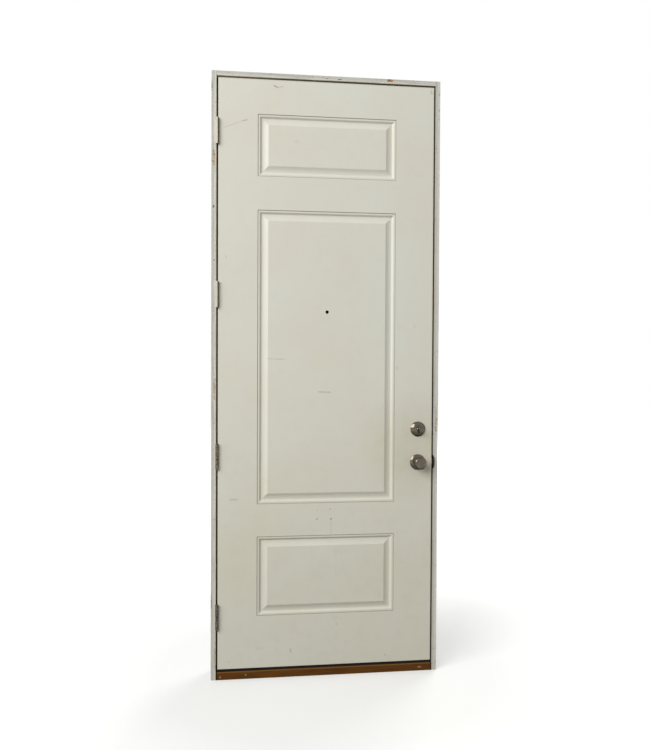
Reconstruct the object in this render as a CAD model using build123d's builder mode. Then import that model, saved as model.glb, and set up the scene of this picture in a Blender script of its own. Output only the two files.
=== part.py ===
"""Prehung exterior door: a three-panel leaf hung on four butt hinges in a wood frame with stops and a sill.

Millimetres. X runs across the opening (hinges at -X), Y from the room to the outdoors, Z up.
The origin is on the underside of the sill, midway between the jambs and midway through their depth.
"""

import os
from math import atan, degrees, hypot

from build123d import *

# Leaf
leaf_width = 899.0
leaf_height = 2419.0
leaf_thickness = 44.5
skin_thickness = 2.0
edge_member_width = 30.0

# Pressed panels: face widths of the rails and stiles round them, and the panel heights that are set
stile_face = 160.5
bottom_rail_face = 215.0
bottom_panel_height = 330.0
lower_rail_face = 134.0
upper_rail_face = 136.0
top_panel_height = 253.0
top_rail_face = 141.0

# Pressed moulding: how far in from the panel's outline each line lies, and how deep it is
quirk_width = 1.6
quirk_depth = 2.2
shelf_width = 6.4
slope_width = 6.5
valley_depth = 9.0
valley_width = 3.0
cove_width = 15.0
cove_rise = 1.8
bevel_width = 11.0
bevel_top_depth = 1.4
field_depth = 0.8

# Frame
reveal = 6.5
jamb_face = 20.5
jamb_depth = 116.0
stop_height = 12.0
seal_space = 6.0
eased_edge = 1.5

# Sill
riser_height = 32.0
riser_round = 4.0
sweep_space = 13.0
deck_projection = 27.0
deck_inner_height = 25.0
deck_nose_height = 11.0
deck_thickness = 2.5
deck_rib_count = 5
deck_rib_width = 3.0
deck_rib_height = 1.2

# Seals
seal_width = 11.0
seal_clearance = 0.3
sweep_setback = 4.0
sweep_base_height = 3.0
sweep_fin_count = 3
sweep_fin_thickness = 2.2
sweep_clearance = 0.8

# Hinges
hinge_count = 4
hinge_height = 101.6
hinge_end_distance = 216.0
hinge_plate_thickness = 2.5
hinge_plate_reach = 38.0
hinge_corner_radius = 15.9
knuckle_count = 5
barrel_radius = 6.2
barrel_clearance = 0.5
knuckle_gap = 0.3
pin_radius = 3.0
pin_clearance = 0.05
pin_head_height = 3.0

# Lock positions, from the leaf's bottom and its lock edge
backset = 60.3
knob_height = 845.5
lock_spacing = 139.7
cross_bore_diameter = 54.0
edge_bore_diameter = 25.4
face_plate_height = 57.2
face_plate_width = 25.4
face_plate_thickness = 2.5
face_plate_corner = 6.4
running_clearance = 0.3

# Knobs
rose_diameter = 66.0
rose_thickness = 9.0
knob_diameter = 56.0
knob_face_diameter = 42.0
knob_projection = 58.0
knob_neck_radius = 13.0
knob_neck_end = 24.0
knob_widest = 43.0
spindle_radius = 8.0
face_ring_width = 3.0
face_ring_depth = 0.8

# Spring latch
latch_height = 16.0
latch_thickness = 13.0
latch_length = 34.0

# Deadbolt
deadbolt_rose_diameter = 63.5
deadbolt_rose_thickness = 12.0
turn_shaft_radius = 6.0
turn_collar_radius = 8.5
turn_collar_height = 3.0
turn_blade_length = 36.0
turn_blade_thickness = 7.0
turn_blade_projection = 19.0
cylinder_base_diameter = 62.0
cylinder_face_diameter = 50.0
cylinder_projection = 20.0
plug_diameter = 13.0
plug_projection = 0.6
keyway_height = 9.0
keyway_width = 2.4
keyway_depth = 12.0
bolt_height = 22.0
bolt_thickness = 14.0
bolt_length = 48.0

# Strikes
strike_height = 57.2
strike_thickness = 2.0
strike_reach = 14.0
strike_corner = 4.0
strike_hole_height = 26.0
strike_hole_width = 18.0
strike_pocket_diameter = 30.0
lip_projection = 5.5
lip_height = 56.0
lip_tip_height = 16.0

# Door viewer
viewer_height = 1474.0
viewer_bore_diameter = 14.3
viewer_eye_diameter = 10.0
viewer_setback = 2.5
viewer_lens_thickness = 2.0
viewer_flange_diameter = 23.0
viewer_flange_thickness = 2.5
viewer_clearance = 0.05

# Places worked out from the sizes above
front = -jamb_depth / 2
back = jamb_depth / 2
leaf_back = front + leaf_thickness
leaf_middle = front + leaf_thickness / 2
stop_front = leaf_back + seal_space
leaf_bottom = riser_height + sweep_space
leaf_top = leaf_bottom + leaf_height
leaf_mid_height = (leaf_bottom + leaf_top) / 2
leaf_edge = leaf_width / 2
jamb_inside = leaf_edge + reveal
jamb_outside = jamb_inside + jamb_face
stop_inside = jamb_inside - stop_height
head_inside = leaf_top + reveal
frame_top = head_inside + jamb_face
pin_x = -leaf_edge - reveal / 2
pin_y = front - barrel_radius - barrel_clearance
hinge_spacing = (leaf_height - 2 * hinge_end_distance) / (hinge_count - 1)
hinge_bottoms = [
    leaf_bottom + hinge_end_distance - hinge_height / 2 + index * hinge_spacing for index in range(hinge_count)
]
knuckle_height = hinge_height / knuckle_count
lock_x = leaf_edge - backset
knob_z = leaf_bottom + knob_height
deadbolt_z = knob_z + lock_spacing
viewer_z = leaf_bottom + viewer_height

# Panels as (height of the middle, height), from the bottom up
panel_width = leaf_width - 2 * stile_face
bottom_panel_bottom = leaf_bottom + bottom_rail_face
middle_panel_bottom = bottom_panel_bottom + bottom_panel_height + lower_rail_face
top_panel_bottom = leaf_top - top_rail_face - top_panel_height
middle_panel_height = top_panel_bottom - upper_rail_face - middle_panel_bottom
panels = [
    (bottom_panel_bottom + bottom_panel_height / 2, bottom_panel_height),
    (middle_panel_bottom + middle_panel_height / 2, middle_panel_height),
    (top_panel_bottom + top_panel_height / 2, top_panel_height),
]

os.makedirs("parts", exist_ok=True)


def write(part, name):
    """Labels a finished piece and writes it as its own node."""
    part.label = name
    export_step(part, f"parts/{name}.step")


def face_plane(depth):
    """The upright plane that lies this deep behind the room side of the leaf; its normal points to the room."""
    return Plane.XZ.offset(-(front + depth))


def panel_outlines(depth, inset):
    """One rectangle for each panel, this deep behind the leaf's face and set in from the panel's outline."""
    with BuildSketch(face_plane(depth)) as outlines:
        for middle, height in panels:
            with Locations((0, middle)):
                Rectangle(panel_width - 2 * inset, height - 2 * inset)
    return outlines.sketch


def lock_bores():
    """The two lock bores and the viewer's bore, drawn on the face of the leaf."""
    with BuildSketch(face_plane(0)) as bores:
        with Locations((lock_x, knob_z), (lock_x, deadbolt_z)):
            Circle(cross_bore_diameter / 2)
        with Locations((0, viewer_z)):
            Circle(viewer_bore_diameter / 2)
    return bores.sketch


def edge_bores():
    """The latch's and the deadbolt's bores, drawn upright on the line of the cross bores."""
    with BuildSketch(Plane.YZ.offset(lock_x)) as bores:
        with Locations((leaf_middle, knob_z), (leaf_middle, deadbolt_z)):
            Circle(edge_bore_diameter / 2)
    return bores.sketch


def hinge_mortises(x):
    """Outlines of the hinge plates let into an upright face at this x; they run out at the room side."""
    with BuildSketch(Plane.YZ.offset(x)) as mortises:
        for bottom in hinge_bottoms:
            with Locations((front, bottom + hinge_height / 2)):
                Rectangle(hinge_plate_reach, hinge_height, align=(Align.MIN, Align.CENTER))
        fillet(mortises.vertices().group_by(Axis.X)[-1], hinge_corner_radius)
    return mortises.sketch


def face_plates(x, *heights):
    """Outlines of the bolts' face plates on the lock edge."""
    with BuildSketch(Plane.YZ.offset(x)) as plates:
        with Locations(*[(leaf_middle, height) for height in heights]):
            RectangleRounded(face_plate_width, face_plate_height, face_plate_corner)
    return plates.sketch


def latch_opening(x, margin):
    """The spring latch's section, with a margin round it."""
    with BuildSketch(Plane.YZ.offset(x)) as opening:
        with Locations((leaf_middle, knob_z)):
            Rectangle(latch_thickness + 2 * margin, latch_height + 2 * margin)
    return opening.sketch


def bolt_opening(x, margin):
    """The deadbolt's section, with a margin round it."""
    with BuildSketch(Plane.YZ.offset(x)) as opening:
        with Locations((leaf_middle, deadbolt_z)):
            SlotOverall(bolt_height + 2 * margin, bolt_thickness + 2 * margin, rotation=90)
    return opening.sketch


def strike_outline(height, near):
    """Outline of a strike plate on the strike jamb's inside face, from the depth given."""
    reach = leaf_middle + strike_reach - near
    with BuildSketch(Plane.YZ.offset(jamb_inside)) as outline:
        with Locations((near, height)):
            Rectangle(reach, strike_height, align=(Align.MIN, Align.CENTER))
        fillet(outline.vertices().group_by(Axis.X)[-1], strike_corner)
    return outline.sketch


def strike_hole(height):
    """The hole a bolt enters in a strike plate."""
    with BuildSketch(Plane.YZ.offset(jamb_inside)) as hole:
        with Locations((leaf_middle, height)):
            RectangleRounded(strike_hole_width, strike_hole_height, strike_corner)
    return hole.sketch


# Leaf: a block with the panels pressed into its room side, from which the skins and the core are taken
shelf_inset = quirk_width + shelf_width
valley_inset = shelf_inset + slope_width + valley_width
bevel_inset = valley_inset + cove_width
field_inset = bevel_inset + bevel_width
slope_depth = valley_depth - quirk_depth
bevel_foot_depth = valley_depth - cove_rise
bevel_rise = bevel_foot_depth - bevel_top_depth
quirk_taper = degrees(atan(quirk_width / quirk_depth))
slope_taper = degrees(atan(slope_width / slope_depth))
cove_taper = degrees(atan(cove_width / cove_rise))
bevel_taper = degrees(atan(bevel_width / bevel_rise))

with BuildPart() as pressed_block:
    with BuildSketch(face_plane(0)):
        with Locations((0, leaf_mid_height)):
            Rectangle(leaf_width, leaf_height)
    extrude(amount=-leaf_thickness / 2)
    extrude(panel_outlines(0, 0), amount=-quirk_depth, taper=quirk_taper, mode=Mode.SUBTRACT)
    extrude(panel_outlines(quirk_depth, shelf_inset), amount=-slope_depth, taper=slope_taper, mode=Mode.SUBTRACT)
    extrude(panel_outlines(valley_depth, valley_inset), amount=cove_rise, taper=cove_taper)
    extrude(panel_outlines(bevel_foot_depth, bevel_inset), amount=bevel_rise, taper=bevel_taper)
    extrude(panel_outlines(bevel_top_depth, field_inset), amount=bevel_top_depth - field_depth)

behind_skin = pressed_block.part.moved(Location((0, skin_thickness, 0)))
leaf_mirror = Plane.XZ.offset(-leaf_middle)

with BuildPart() as plain_skin:
    add(pressed_block.part)
    add(behind_skin, mode=Mode.SUBTRACT)
    extrude(lock_bores(), amount=leaf_thickness, both=True, mode=Mode.SUBTRACT)

with BuildPart() as interior_skin:
    add(plain_skin.part)
    extrude(hinge_mortises(-leaf_edge), amount=hinge_plate_thickness, mode=Mode.SUBTRACT)
write(interior_skin.part, "interior_skin")

with BuildPart() as exterior_skin:
    mirror(plain_skin.part, about=leaf_mirror)
write(exterior_skin.part, "exterior_skin")

core_width = leaf_width - 2 * edge_member_width
core_height = leaf_height - 2 * edge_member_width
with BuildPart() as leaf_core:
    add(behind_skin)
    with Locations((0, leaf_middle, leaf_mid_height)):
        Box(core_width, leaf_thickness, core_height, align=(Align.CENTER, Align.MAX, Align.CENTER), mode=Mode.INTERSECT)
    mirror(about=leaf_mirror)
    extrude(lock_bores(), amount=leaf_thickness, both=True, mode=Mode.SUBTRACT)
    extrude(edge_bores(), amount=backset, mode=Mode.SUBTRACT)
write(leaf_core.part, "leaf_core")

# Edge members of the leaf, between the skins
member_thickness = leaf_thickness - 2 * skin_thickness
member_offset = leaf_edge - edge_member_width / 2
with BuildPart() as hinge_stile:
    with Locations((-member_offset, leaf_middle, leaf_mid_height)):
        Box(edge_member_width, member_thickness, leaf_height)
    extrude(hinge_mortises(-leaf_edge), amount=hinge_plate_thickness, mode=Mode.SUBTRACT)
write(hinge_stile.part, "hinge_stile")

with BuildPart() as lock_stile:
    with Locations((member_offset, leaf_middle, leaf_mid_height)):
        Box(edge_member_width, member_thickness, leaf_height)
    extrude(edge_bores(), amount=backset, mode=Mode.SUBTRACT)
    plate_seats = face_plates(leaf_edge, knob_z, deadbolt_z)
    extrude(plate_seats, amount=-face_plate_thickness, mode=Mode.SUBTRACT)
write(lock_stile.part, "lock_stile")

with BuildPart() as bottom_rail:
    with Locations((0, leaf_middle, leaf_bottom + edge_member_width / 2)):
        Box(core_width, member_thickness, edge_member_width)
write(bottom_rail.part, "bottom_rail")

with BuildPart() as top_rail:
    with Locations((0, leaf_middle, leaf_top - edge_member_width / 2)):
        Box(core_width, member_thickness, edge_member_width)
write(top_rail.part, "top_rail")

# Sweep under the leaf: a base strip with fins that stop just over the riser
sweep_width = leaf_thickness - 2 * sweep_setback
sweep_fin_height = sweep_space - sweep_clearance
sweep_fin_spacing = (sweep_width - sweep_fin_thickness) / (sweep_fin_count - 1)
with BuildPart() as door_sweep:
    with BuildSketch(Plane.YZ):
        with Locations((leaf_middle, leaf_bottom)):
            Rectangle(sweep_width, sweep_base_height, align=(Align.CENTER, Align.MAX))
            with GridLocations(sweep_fin_spacing, 0, sweep_fin_count, 1):
                Rectangle(sweep_fin_thickness, sweep_fin_height, align=(Align.CENTER, Align.MAX))
    extrude(amount=leaf_edge, both=True)
write(door_sweep.part, "door_sweep")

# Jambs and head: flat boards, with a stop fixed to each behind the leaf
with BuildPart() as jamb_blank:
    with BuildSketch(Plane.XY):
        with Locations((-jamb_inside, 0)):
            Rectangle(jamb_face, jamb_depth, align=(Align.MAX, Align.CENTER))
    extrude(amount=frame_top)
    fillet(jamb_blank.edges().filter_by(Axis.Z).group_by(Axis.Y)[0], eased_edge)

with BuildPart() as hinge_jamb:
    add(jamb_blank.part)
    extrude(hinge_mortises(-jamb_inside), amount=-hinge_plate_thickness, mode=Mode.SUBTRACT)
write(hinge_jamb.part, "hinge_jamb")

deadbolt_strike_near = leaf_middle - strike_reach
with BuildPart() as strike_jamb:
    mirror(jamb_blank.part, about=Plane.YZ)
    extrude(strike_outline(knob_z, front), amount=strike_thickness, mode=Mode.SUBTRACT)
    extrude(strike_outline(deadbolt_z, deadbolt_strike_near), amount=strike_thickness, mode=Mode.SUBTRACT)
    with BuildSketch(Plane.YZ.offset(jamb_inside)):
        with Locations((leaf_middle, knob_z), (leaf_middle, deadbolt_z)):
            Circle(strike_pocket_diameter / 2)
    extrude(amount=jamb_face, mode=Mode.SUBTRACT)
write(strike_jamb.part, "strike_jamb")

with BuildPart() as head_jamb:
    with BuildSketch(Plane.YZ):
        with Locations((0, head_inside)):
            Rectangle(jamb_depth, jamb_face, align=(Align.CENTER, Align.MIN))
    extrude(amount=jamb_inside, both=True)
    fillet(head_jamb.edges().filter_by(Axis.X).group_by(Axis.Y)[0], eased_edge)
write(head_jamb.part, "head_jamb")

stop_depth = back - stop_front
with BuildPart() as hinge_stop:
    with BuildSketch(Plane.XY):
        with Locations((-jamb_inside, stop_front)):
            Rectangle(stop_height, stop_depth, align=(Align.MIN, Align.MIN))
    extrude(amount=head_inside)
    fillet(hinge_stop.edges().filter_by(Axis.Z).group_by(Axis.X)[-1], eased_edge)
write(hinge_stop.part, "hinge_stop")

with BuildPart() as strike_stop:
    mirror(hinge_stop.part, about=Plane.YZ)
write(strike_stop.part, "strike_stop")

with BuildPart() as head_stop:
    with BuildSketch(Plane.YZ):
        with Locations((stop_front, head_inside)):
            Rectangle(stop_depth, stop_height, align=(Align.MIN, Align.MAX))
    extrude(amount=stop_inside, both=True)
    fillet(head_stop.edges().filter_by(Axis.X).group_by(Axis.Z)[0], eased_edge)
write(head_stop.part, "head_stop")

# Seals on the stops
seal_thickness = seal_space - seal_clearance
seal_round = seal_thickness * 0.45
head_seal_bottom = head_inside - seal_width
with BuildPart() as hinge_side_seal:
    with BuildSketch(Plane.XY.offset(riser_height)) as seal_section:
        with Locations((-jamb_inside, stop_front)):
            Rectangle(seal_width, seal_thickness, align=(Align.MIN, Align.MAX))
        fillet(seal_section.vertices().group_by(Axis.Y)[0], seal_round)
    extrude(amount=head_seal_bottom - riser_height)
write(hinge_side_seal.part, "hinge_side_seal")

with BuildPart() as strike_side_seal:
    mirror(hinge_side_seal.part, about=Plane.YZ)
write(strike_side_seal.part, "strike_side_seal")

with BuildPart() as head_seal:
    with BuildSketch(Plane.YZ) as head_seal_section:
        with Locations((stop_front, head_seal_bottom)):
            Rectangle(seal_thickness, seal_width, align=(Align.MAX, Align.MIN))
        fillet(head_seal_section.vertices().group_by(Axis.X)[0], seal_round)
    extrude(amount=jamb_inside, both=True)
write(head_seal.part, "head_seal")

# Sill: riser under the leaf, then a sloped metal deck over a wedge
deck_nose = back + deck_projection
deck_fall = deck_inner_height - deck_nose_height
deck_run = deck_nose - stop_front
deck_slope = -degrees(atan(deck_fall / deck_run))
with BuildPart() as sill_riser:
    with BuildSketch(Plane.YZ) as riser_section:
        with Locations((front, 0)):
            Rectangle(stop_front - front, riser_height, align=(Align.MIN, Align.MIN))
        fillet(riser_section.vertices().group_by(Axis.Y)[-1].sort_by(Axis.X)[0], riser_round)
    extrude(amount=jamb_inside, both=True)
write(sill_riser.part, "sill_riser")

with BuildPart() as sill_wedge:
    with BuildSketch(Plane.YZ):
        with BuildLine():
            Polyline(
                (stop_front, 0),
                (deck_nose - deck_thickness, 0),
                (deck_nose - deck_thickness, deck_nose_height - deck_thickness),
                (stop_front, deck_inner_height - deck_thickness),
                close=True,
            )
        make_face()
    extrude(amount=stop_inside, both=True)
write(sill_wedge.part, "sill_wedge")

with BuildPart() as sill_deck:
    with BuildSketch(Plane.YZ):
        with BuildLine():
            Polyline(
                (stop_front, deck_inner_height - deck_thickness),
                (stop_front, deck_inner_height),
                (deck_nose, deck_nose_height),
                (deck_nose, 0),
                (deck_nose - deck_thickness, 0),
                (deck_nose - deck_thickness, deck_nose_height - deck_thickness),
                close=True,
            )
        make_face()
        for index in range(deck_rib_count):
            share = (index + 1) / (deck_rib_count + 1)
            with Locations((stop_front + share * deck_run, deck_inner_height - share * deck_fall)):
                Rectangle(deck_rib_width, 2 * deck_rib_height, rotation=deck_slope)
    extrude(amount=stop_inside, both=True)
write(sill_deck.part, "sill_deck")


# Hinges
def hinge_leaf(bottom, face_x, thickness, own):
    """One leaf of a butt hinge: a plate behind an upright face, and its share of the knuckles.

    The plate is let in by the thickness, along X; own says whether this leaf has the even knuckles or the odd ones.
    """
    with BuildPart() as leaf:
        with BuildSketch(Plane.YZ.offset(face_x)) as plate:
            with Locations((pin_y, bottom)):
                Rectangle(front + hinge_plate_reach - pin_y, hinge_height, align=(Align.MIN, Align.MIN))
            fillet(plate.vertices().group_by(Axis.X)[-1], hinge_corner_radius)
        extrude(amount=thickness)
        with BuildSketch(Plane.XY.offset(bottom)):
            with Locations((pin_x, pin_y)):
                Circle(barrel_radius)
        extrude(amount=hinge_height)
        for index in range(knuckle_count):
            if index % 2 != own:
                with BuildSketch(Plane.XY.offset(bottom + index * knuckle_height - knuckle_gap / 2)):
                    with Locations((pin_x, pin_y)):
                        Circle(barrel_radius + knuckle_gap)
                extrude(amount=knuckle_height + knuckle_gap, mode=Mode.SUBTRACT)
        with BuildSketch(Plane.XY.offset(bottom)):
            with Locations((pin_x, pin_y)):
                Circle(pin_radius + pin_clearance)
        extrude(amount=hinge_height, mode=Mode.SUBTRACT)
    return leaf.part


for number, hinge_bottom in enumerate(hinge_bottoms, start=1):
    write(hinge_leaf(hinge_bottom, -jamb_inside, -hinge_plate_thickness, 0), f"jamb_hinge_leaf_{number}")
    write(hinge_leaf(hinge_bottom, -leaf_edge, hinge_plate_thickness, 1), f"door_hinge_leaf_{number}")

# Hinge pins, each with a head over the barrel and a button under it
pin_bevel = pin_head_height * 0.6
with BuildPart() as hinge_pins:
    for hinge_bottom in hinge_bottoms:
        with BuildSketch(Plane.XY.offset(hinge_bottom)):
            with Locations((pin_x, pin_y)):
                Circle(pin_radius)
        extrude(amount=hinge_height)
        for level, reach in ((hinge_bottom, -pin_head_height), (hinge_bottom + hinge_height, pin_head_height)):
            with BuildSketch(Plane.XY.offset(level)):
                with Locations((pin_x, pin_y)):
                    Circle(barrel_radius)
            extrude(amount=reach)
            rim = hinge_pins.edges().filter_by(GeomType.CIRCLE).filter_by_position(
                Axis.Z, level + reach, level + reach
            )
            chamfer(rim, pin_bevel)
write(hinge_pins.part, "hinge_pins")

# Knobs: the room side is turned, and the outdoor side is its mirror image
knob_plane = Plane(origin=(lock_x, front, knob_z), x_dir=(1, 0, 0), z_dir=(0, 0, -1))
knob_axis = Axis((lock_x, front, knob_z), (0, -1, 0))
rose_hole_radius = knob_neck_radius + running_clearance
rose_radius = rose_diameter / 2
rose_rim = rose_thickness / 3
with BuildPart() as interior_rose:
    with BuildSketch(knob_plane):
        with BuildLine():
            Polyline((rose_hole_radius, rose_thickness), (rose_hole_radius, 0), (rose_radius, 0), (rose_radius, rose_rim))
            TangentArc((rose_hole_radius, rose_thickness), (rose_radius, rose_rim), tangent=(1, 0))
        make_face()
    revolve(axis=knob_axis)
write(interior_rose.part, "interior_rose")

with BuildPart() as exterior_rose:
    mirror(interior_rose.part, about=leaf_mirror)
write(exterior_rose.part, "exterior_rose")

knob_face_radius = knob_face_diameter / 2
face_dish_radius = knob_face_radius - face_ring_width
with BuildPart() as interior_knob:
    with BuildSketch(knob_plane):
        with BuildLine():
            Polyline(
                (knob_face_radius, knob_projection),
                (face_dish_radius, knob_projection),
                (face_dish_radius, knob_projection - face_ring_depth),
                (0, knob_projection - face_ring_depth),
                (0, 0),
                (knob_neck_radius, 0),
                (knob_neck_radius, knob_neck_end),
            )
            Spline(
                (knob_neck_radius, knob_neck_end),
                (knob_diameter / 2, knob_widest),
                (knob_face_radius, knob_projection),
                tangents=((0.5, 1), (0, 1), (-1, 0.6)),
            )
        make_face()
    revolve(axis=knob_axis)
write(interior_knob.part, "interior_knob")

with BuildPart() as exterior_knob:
    mirror(interior_knob.part, about=leaf_mirror)
write(exterior_knob.part, "exterior_knob")

with BuildPart() as knob_spindle:
    with BuildSketch(face_plane(0)):
        with Locations((lock_x, knob_z)):
            Circle(spindle_radius)
    extrude(amount=-leaf_thickness)
write(knob_spindle.part, "knob_spindle")

# Spring latch, drawn back flush with its face plate
with BuildPart() as latch_plate:
    extrude(face_plates(leaf_edge, knob_z), amount=-face_plate_thickness)
    extrude(latch_opening(leaf_edge, running_clearance), amount=-face_plate_thickness, mode=Mode.SUBTRACT)
write(latch_plate.part, "latch_plate")

with BuildPart() as latch_bolt:
    extrude(latch_opening(leaf_edge, 0), amount=-latch_length)
    nose_edges = latch_bolt.edges().filter_by(Axis.Z).group_by(Axis.X)[-1]
    chamfer(nose_edges.sort_by(Axis.Y)[-1], latch_thickness * 0.7)
write(latch_bolt.part, "latch_bolt")

# Deadbolt
deadbolt_plane = Plane(origin=(lock_x, front, deadbolt_z), x_dir=(1, 0, 0), z_dir=(0, 0, -1))
deadbolt_axis = Axis((lock_x, front, deadbolt_z), (0, -1, 0))
turn_hole_radius = turn_shaft_radius + running_clearance
deadbolt_rose_radius = deadbolt_rose_diameter / 2
with BuildPart() as deadbolt_rose:
    with BuildSketch(deadbolt_plane):
        with BuildLine():
            Polyline(
                (turn_hole_radius, deadbolt_rose_thickness),
                (turn_hole_radius, 0),
                (deadbolt_rose_radius, 0),
                (deadbolt_rose_radius, rose_rim),
            )
            TangentArc((turn_hole_radius, deadbolt_rose_thickness), (deadbolt_rose_radius, rose_rim), tangent=(1, 0))
        make_face()
    revolve(axis=deadbolt_axis)
write(deadbolt_rose.part, "deadbolt_rose")

collar_depth = deadbolt_rose_thickness + running_clearance
blade_depth = collar_depth + turn_collar_height
with BuildPart() as thumb_turn:
    with BuildSketch(face_plane(deadbolt_rose_thickness)):
        with Locations((lock_x, deadbolt_z)):
            Circle(turn_shaft_radius)
    extrude(amount=deadbolt_rose_thickness + collar_depth)
    with BuildSketch(face_plane(-collar_depth)):
        with Locations((lock_x, deadbolt_z)):
            Circle(turn_collar_radius)
    extrude(amount=turn_collar_height)
    blade_foot = front - blade_depth
    blade_half = turn_blade_length / 2
    with BuildSketch(Plane.YZ.offset(lock_x)):
        with BuildLine():
            Line((blade_foot, deadbolt_z - blade_half), (blade_foot, deadbolt_z + blade_half))
            ThreePointArc(
                (blade_foot, deadbolt_z + blade_half),
                (blade_foot - turn_blade_projection, deadbolt_z),
                (blade_foot, deadbolt_z - blade_half),
            )
        make_face()
    extrude(amount=turn_blade_thickness / 2, both=True)
    fillet(thumb_turn.edges().group_by(Axis.Y)[0], turn_blade_thickness / 4)
write(thumb_turn.part, "thumb_turn")

with BuildPart() as deadbolt_cylinder:
    with BuildSketch(Plane.XZ.offset(-leaf_back)):
        with Locations((lock_x, deadbolt_z)):
            Circle(cylinder_base_diameter / 2)
    cylinder_taper = degrees(atan((cylinder_base_diameter - cylinder_face_diameter) / 2 / cylinder_projection))
    extrude(amount=-cylinder_projection, taper=cylinder_taper)
    fillet(deadbolt_cylinder.edges().group_by(Axis.Y)[-1], eased_edge)
    with BuildSketch(Plane.XZ.offset(-(leaf_back + cylinder_projection))):
        with Locations((lock_x, deadbolt_z)):
            Circle(plug_diameter / 2)
    extrude(amount=-plug_projection)
    with BuildSketch(Plane.XZ.offset(-(leaf_back + cylinder_projection + plug_projection))):
        with Locations((lock_x, deadbolt_z)):
            Rectangle(keyway_width, keyway_height)
    extrude(amount=keyway_depth, mode=Mode.SUBTRACT)
write(deadbolt_cylinder.part, "deadbolt_cylinder")

with BuildPart() as deadbolt_plate:
    extrude(face_plates(leaf_edge, deadbolt_z), amount=-face_plate_thickness)
    extrude(bolt_opening(leaf_edge, running_clearance), amount=-face_plate_thickness, mode=Mode.SUBTRACT)
write(deadbolt_plate.part, "deadbolt_plate")

with BuildPart() as deadbolt_bolt:
    extrude(bolt_opening(leaf_edge, 0), amount=-bolt_length)
    chamfer(deadbolt_bolt.edges().group_by(Axis.X)[-1], running_clearance * 3)
write(deadbolt_bolt.part, "deadbolt_bolt")

# Strikes on the strike jamb
lip_root = lip_height / 2
lip_tip = lip_tip_height / 2
lip_clip_x = (lip_projection**2 + lip_tip**2 - lip_root**2) / (2 * lip_projection)
lip_clip_radius = hypot(lip_clip_x, lip_root)
with BuildPart() as latch_strike:
    with BuildSketch(Plane.XY.offset(knob_z)):
        with Locations((jamb_inside + lip_projection, front)):
            Circle(lip_projection)
            Circle(lip_projection - strike_thickness, mode=Mode.SUBTRACT)
            Rectangle(lip_projection, lip_projection, align=(Align.MAX, Align.MAX), mode=Mode.INTERSECT)
    extrude(amount=strike_height / 2, both=True)
    with BuildSketch(face_plane(0)):
        with Locations((jamb_inside + lip_clip_x, knob_z)):
            Circle(lip_clip_radius)
    extrude(amount=2 * lip_projection, both=True, mode=Mode.INTERSECT)
    extrude(strike_outline(knob_z, front), amount=strike_thickness)
    extrude(strike_hole(knob_z), amount=strike_thickness, mode=Mode.SUBTRACT)
write(latch_strike.part, "latch_strike")

with BuildPart() as deadbolt_strike:
    extrude(strike_outline(deadbolt_z, deadbolt_strike_near), amount=strike_thickness)
    extrude(strike_hole(deadbolt_z), amount=strike_thickness, mode=Mode.SUBTRACT)
write(deadbolt_strike.part, "deadbolt_strike")

# Door viewer in the middle panel
viewer_plane = Plane(origin=(0, front, viewer_z), x_dir=(1, 0, 0), z_dir=(0, 0, 1))
viewer_axis = Axis((0, front, viewer_z), (0, 1, 0))
viewer_radius = viewer_bore_diameter / 2 - viewer_clearance
viewer_eye_radius = viewer_eye_diameter / 2
viewer_seat = leaf_thickness - field_depth
viewer_end = viewer_seat + viewer_flange_thickness
with BuildPart() as viewer_barrel:
    with BuildSketch(viewer_plane):
        with BuildLine():
            Polyline(
                (viewer_eye_radius, viewer_setback),
                (viewer_radius, viewer_setback),
                (viewer_radius, viewer_seat),
                (viewer_flange_diameter / 2, viewer_seat),
                (viewer_flange_diameter / 2, viewer_end),
                (viewer_eye_radius, viewer_end),
                close=True,
            )
        make_face()
    revolve(axis=viewer_axis)
write(viewer_barrel.part, "viewer_barrel")

with BuildPart() as viewer_lenses:
    for depth in (viewer_setback + viewer_lens_thickness, viewer_end - 2 * viewer_lens_thickness):
        with BuildSketch(face_plane(depth)):
            with Locations((0, viewer_z)):
                Circle(viewer_eye_radius)
        extrude(amount=-viewer_lens_thickness)
write(viewer_lenses.part, "viewer_lenses")
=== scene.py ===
"""Dresses a prehung exterior door: a painted three-panel leaf in its frame, with worn paint and old hardware.

Metres, in the CAD model's own frame: X runs across the opening with the hinges at -X, Y from the room to the
outdoors, Z up. Sizes are written in millimetres, as on a drawing, and turned to metres where a mesh is made.
"""

import logging
import math
from dataclasses import dataclass, field
from enum import Enum
from functools import reduce
from typing import Iterable, Mapping, Optional, Sequence, Union

import bmesh
import bpy
from mathutils import Matrix, Vector


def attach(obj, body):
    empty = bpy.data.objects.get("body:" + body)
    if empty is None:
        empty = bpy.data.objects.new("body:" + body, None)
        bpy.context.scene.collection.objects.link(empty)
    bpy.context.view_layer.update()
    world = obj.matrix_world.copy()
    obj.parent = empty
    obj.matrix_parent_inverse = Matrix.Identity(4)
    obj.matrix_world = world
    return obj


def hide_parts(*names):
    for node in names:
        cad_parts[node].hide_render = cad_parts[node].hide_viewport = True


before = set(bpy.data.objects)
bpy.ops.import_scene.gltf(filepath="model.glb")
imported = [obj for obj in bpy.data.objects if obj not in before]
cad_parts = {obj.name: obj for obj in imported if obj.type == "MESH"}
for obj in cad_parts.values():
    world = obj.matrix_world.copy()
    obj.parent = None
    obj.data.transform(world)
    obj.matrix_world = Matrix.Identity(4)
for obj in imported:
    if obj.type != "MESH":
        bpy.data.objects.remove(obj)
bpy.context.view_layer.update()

log = logging.getLogger("door")

MM = 0.001
PHOTO_WIDTH = 650

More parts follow.
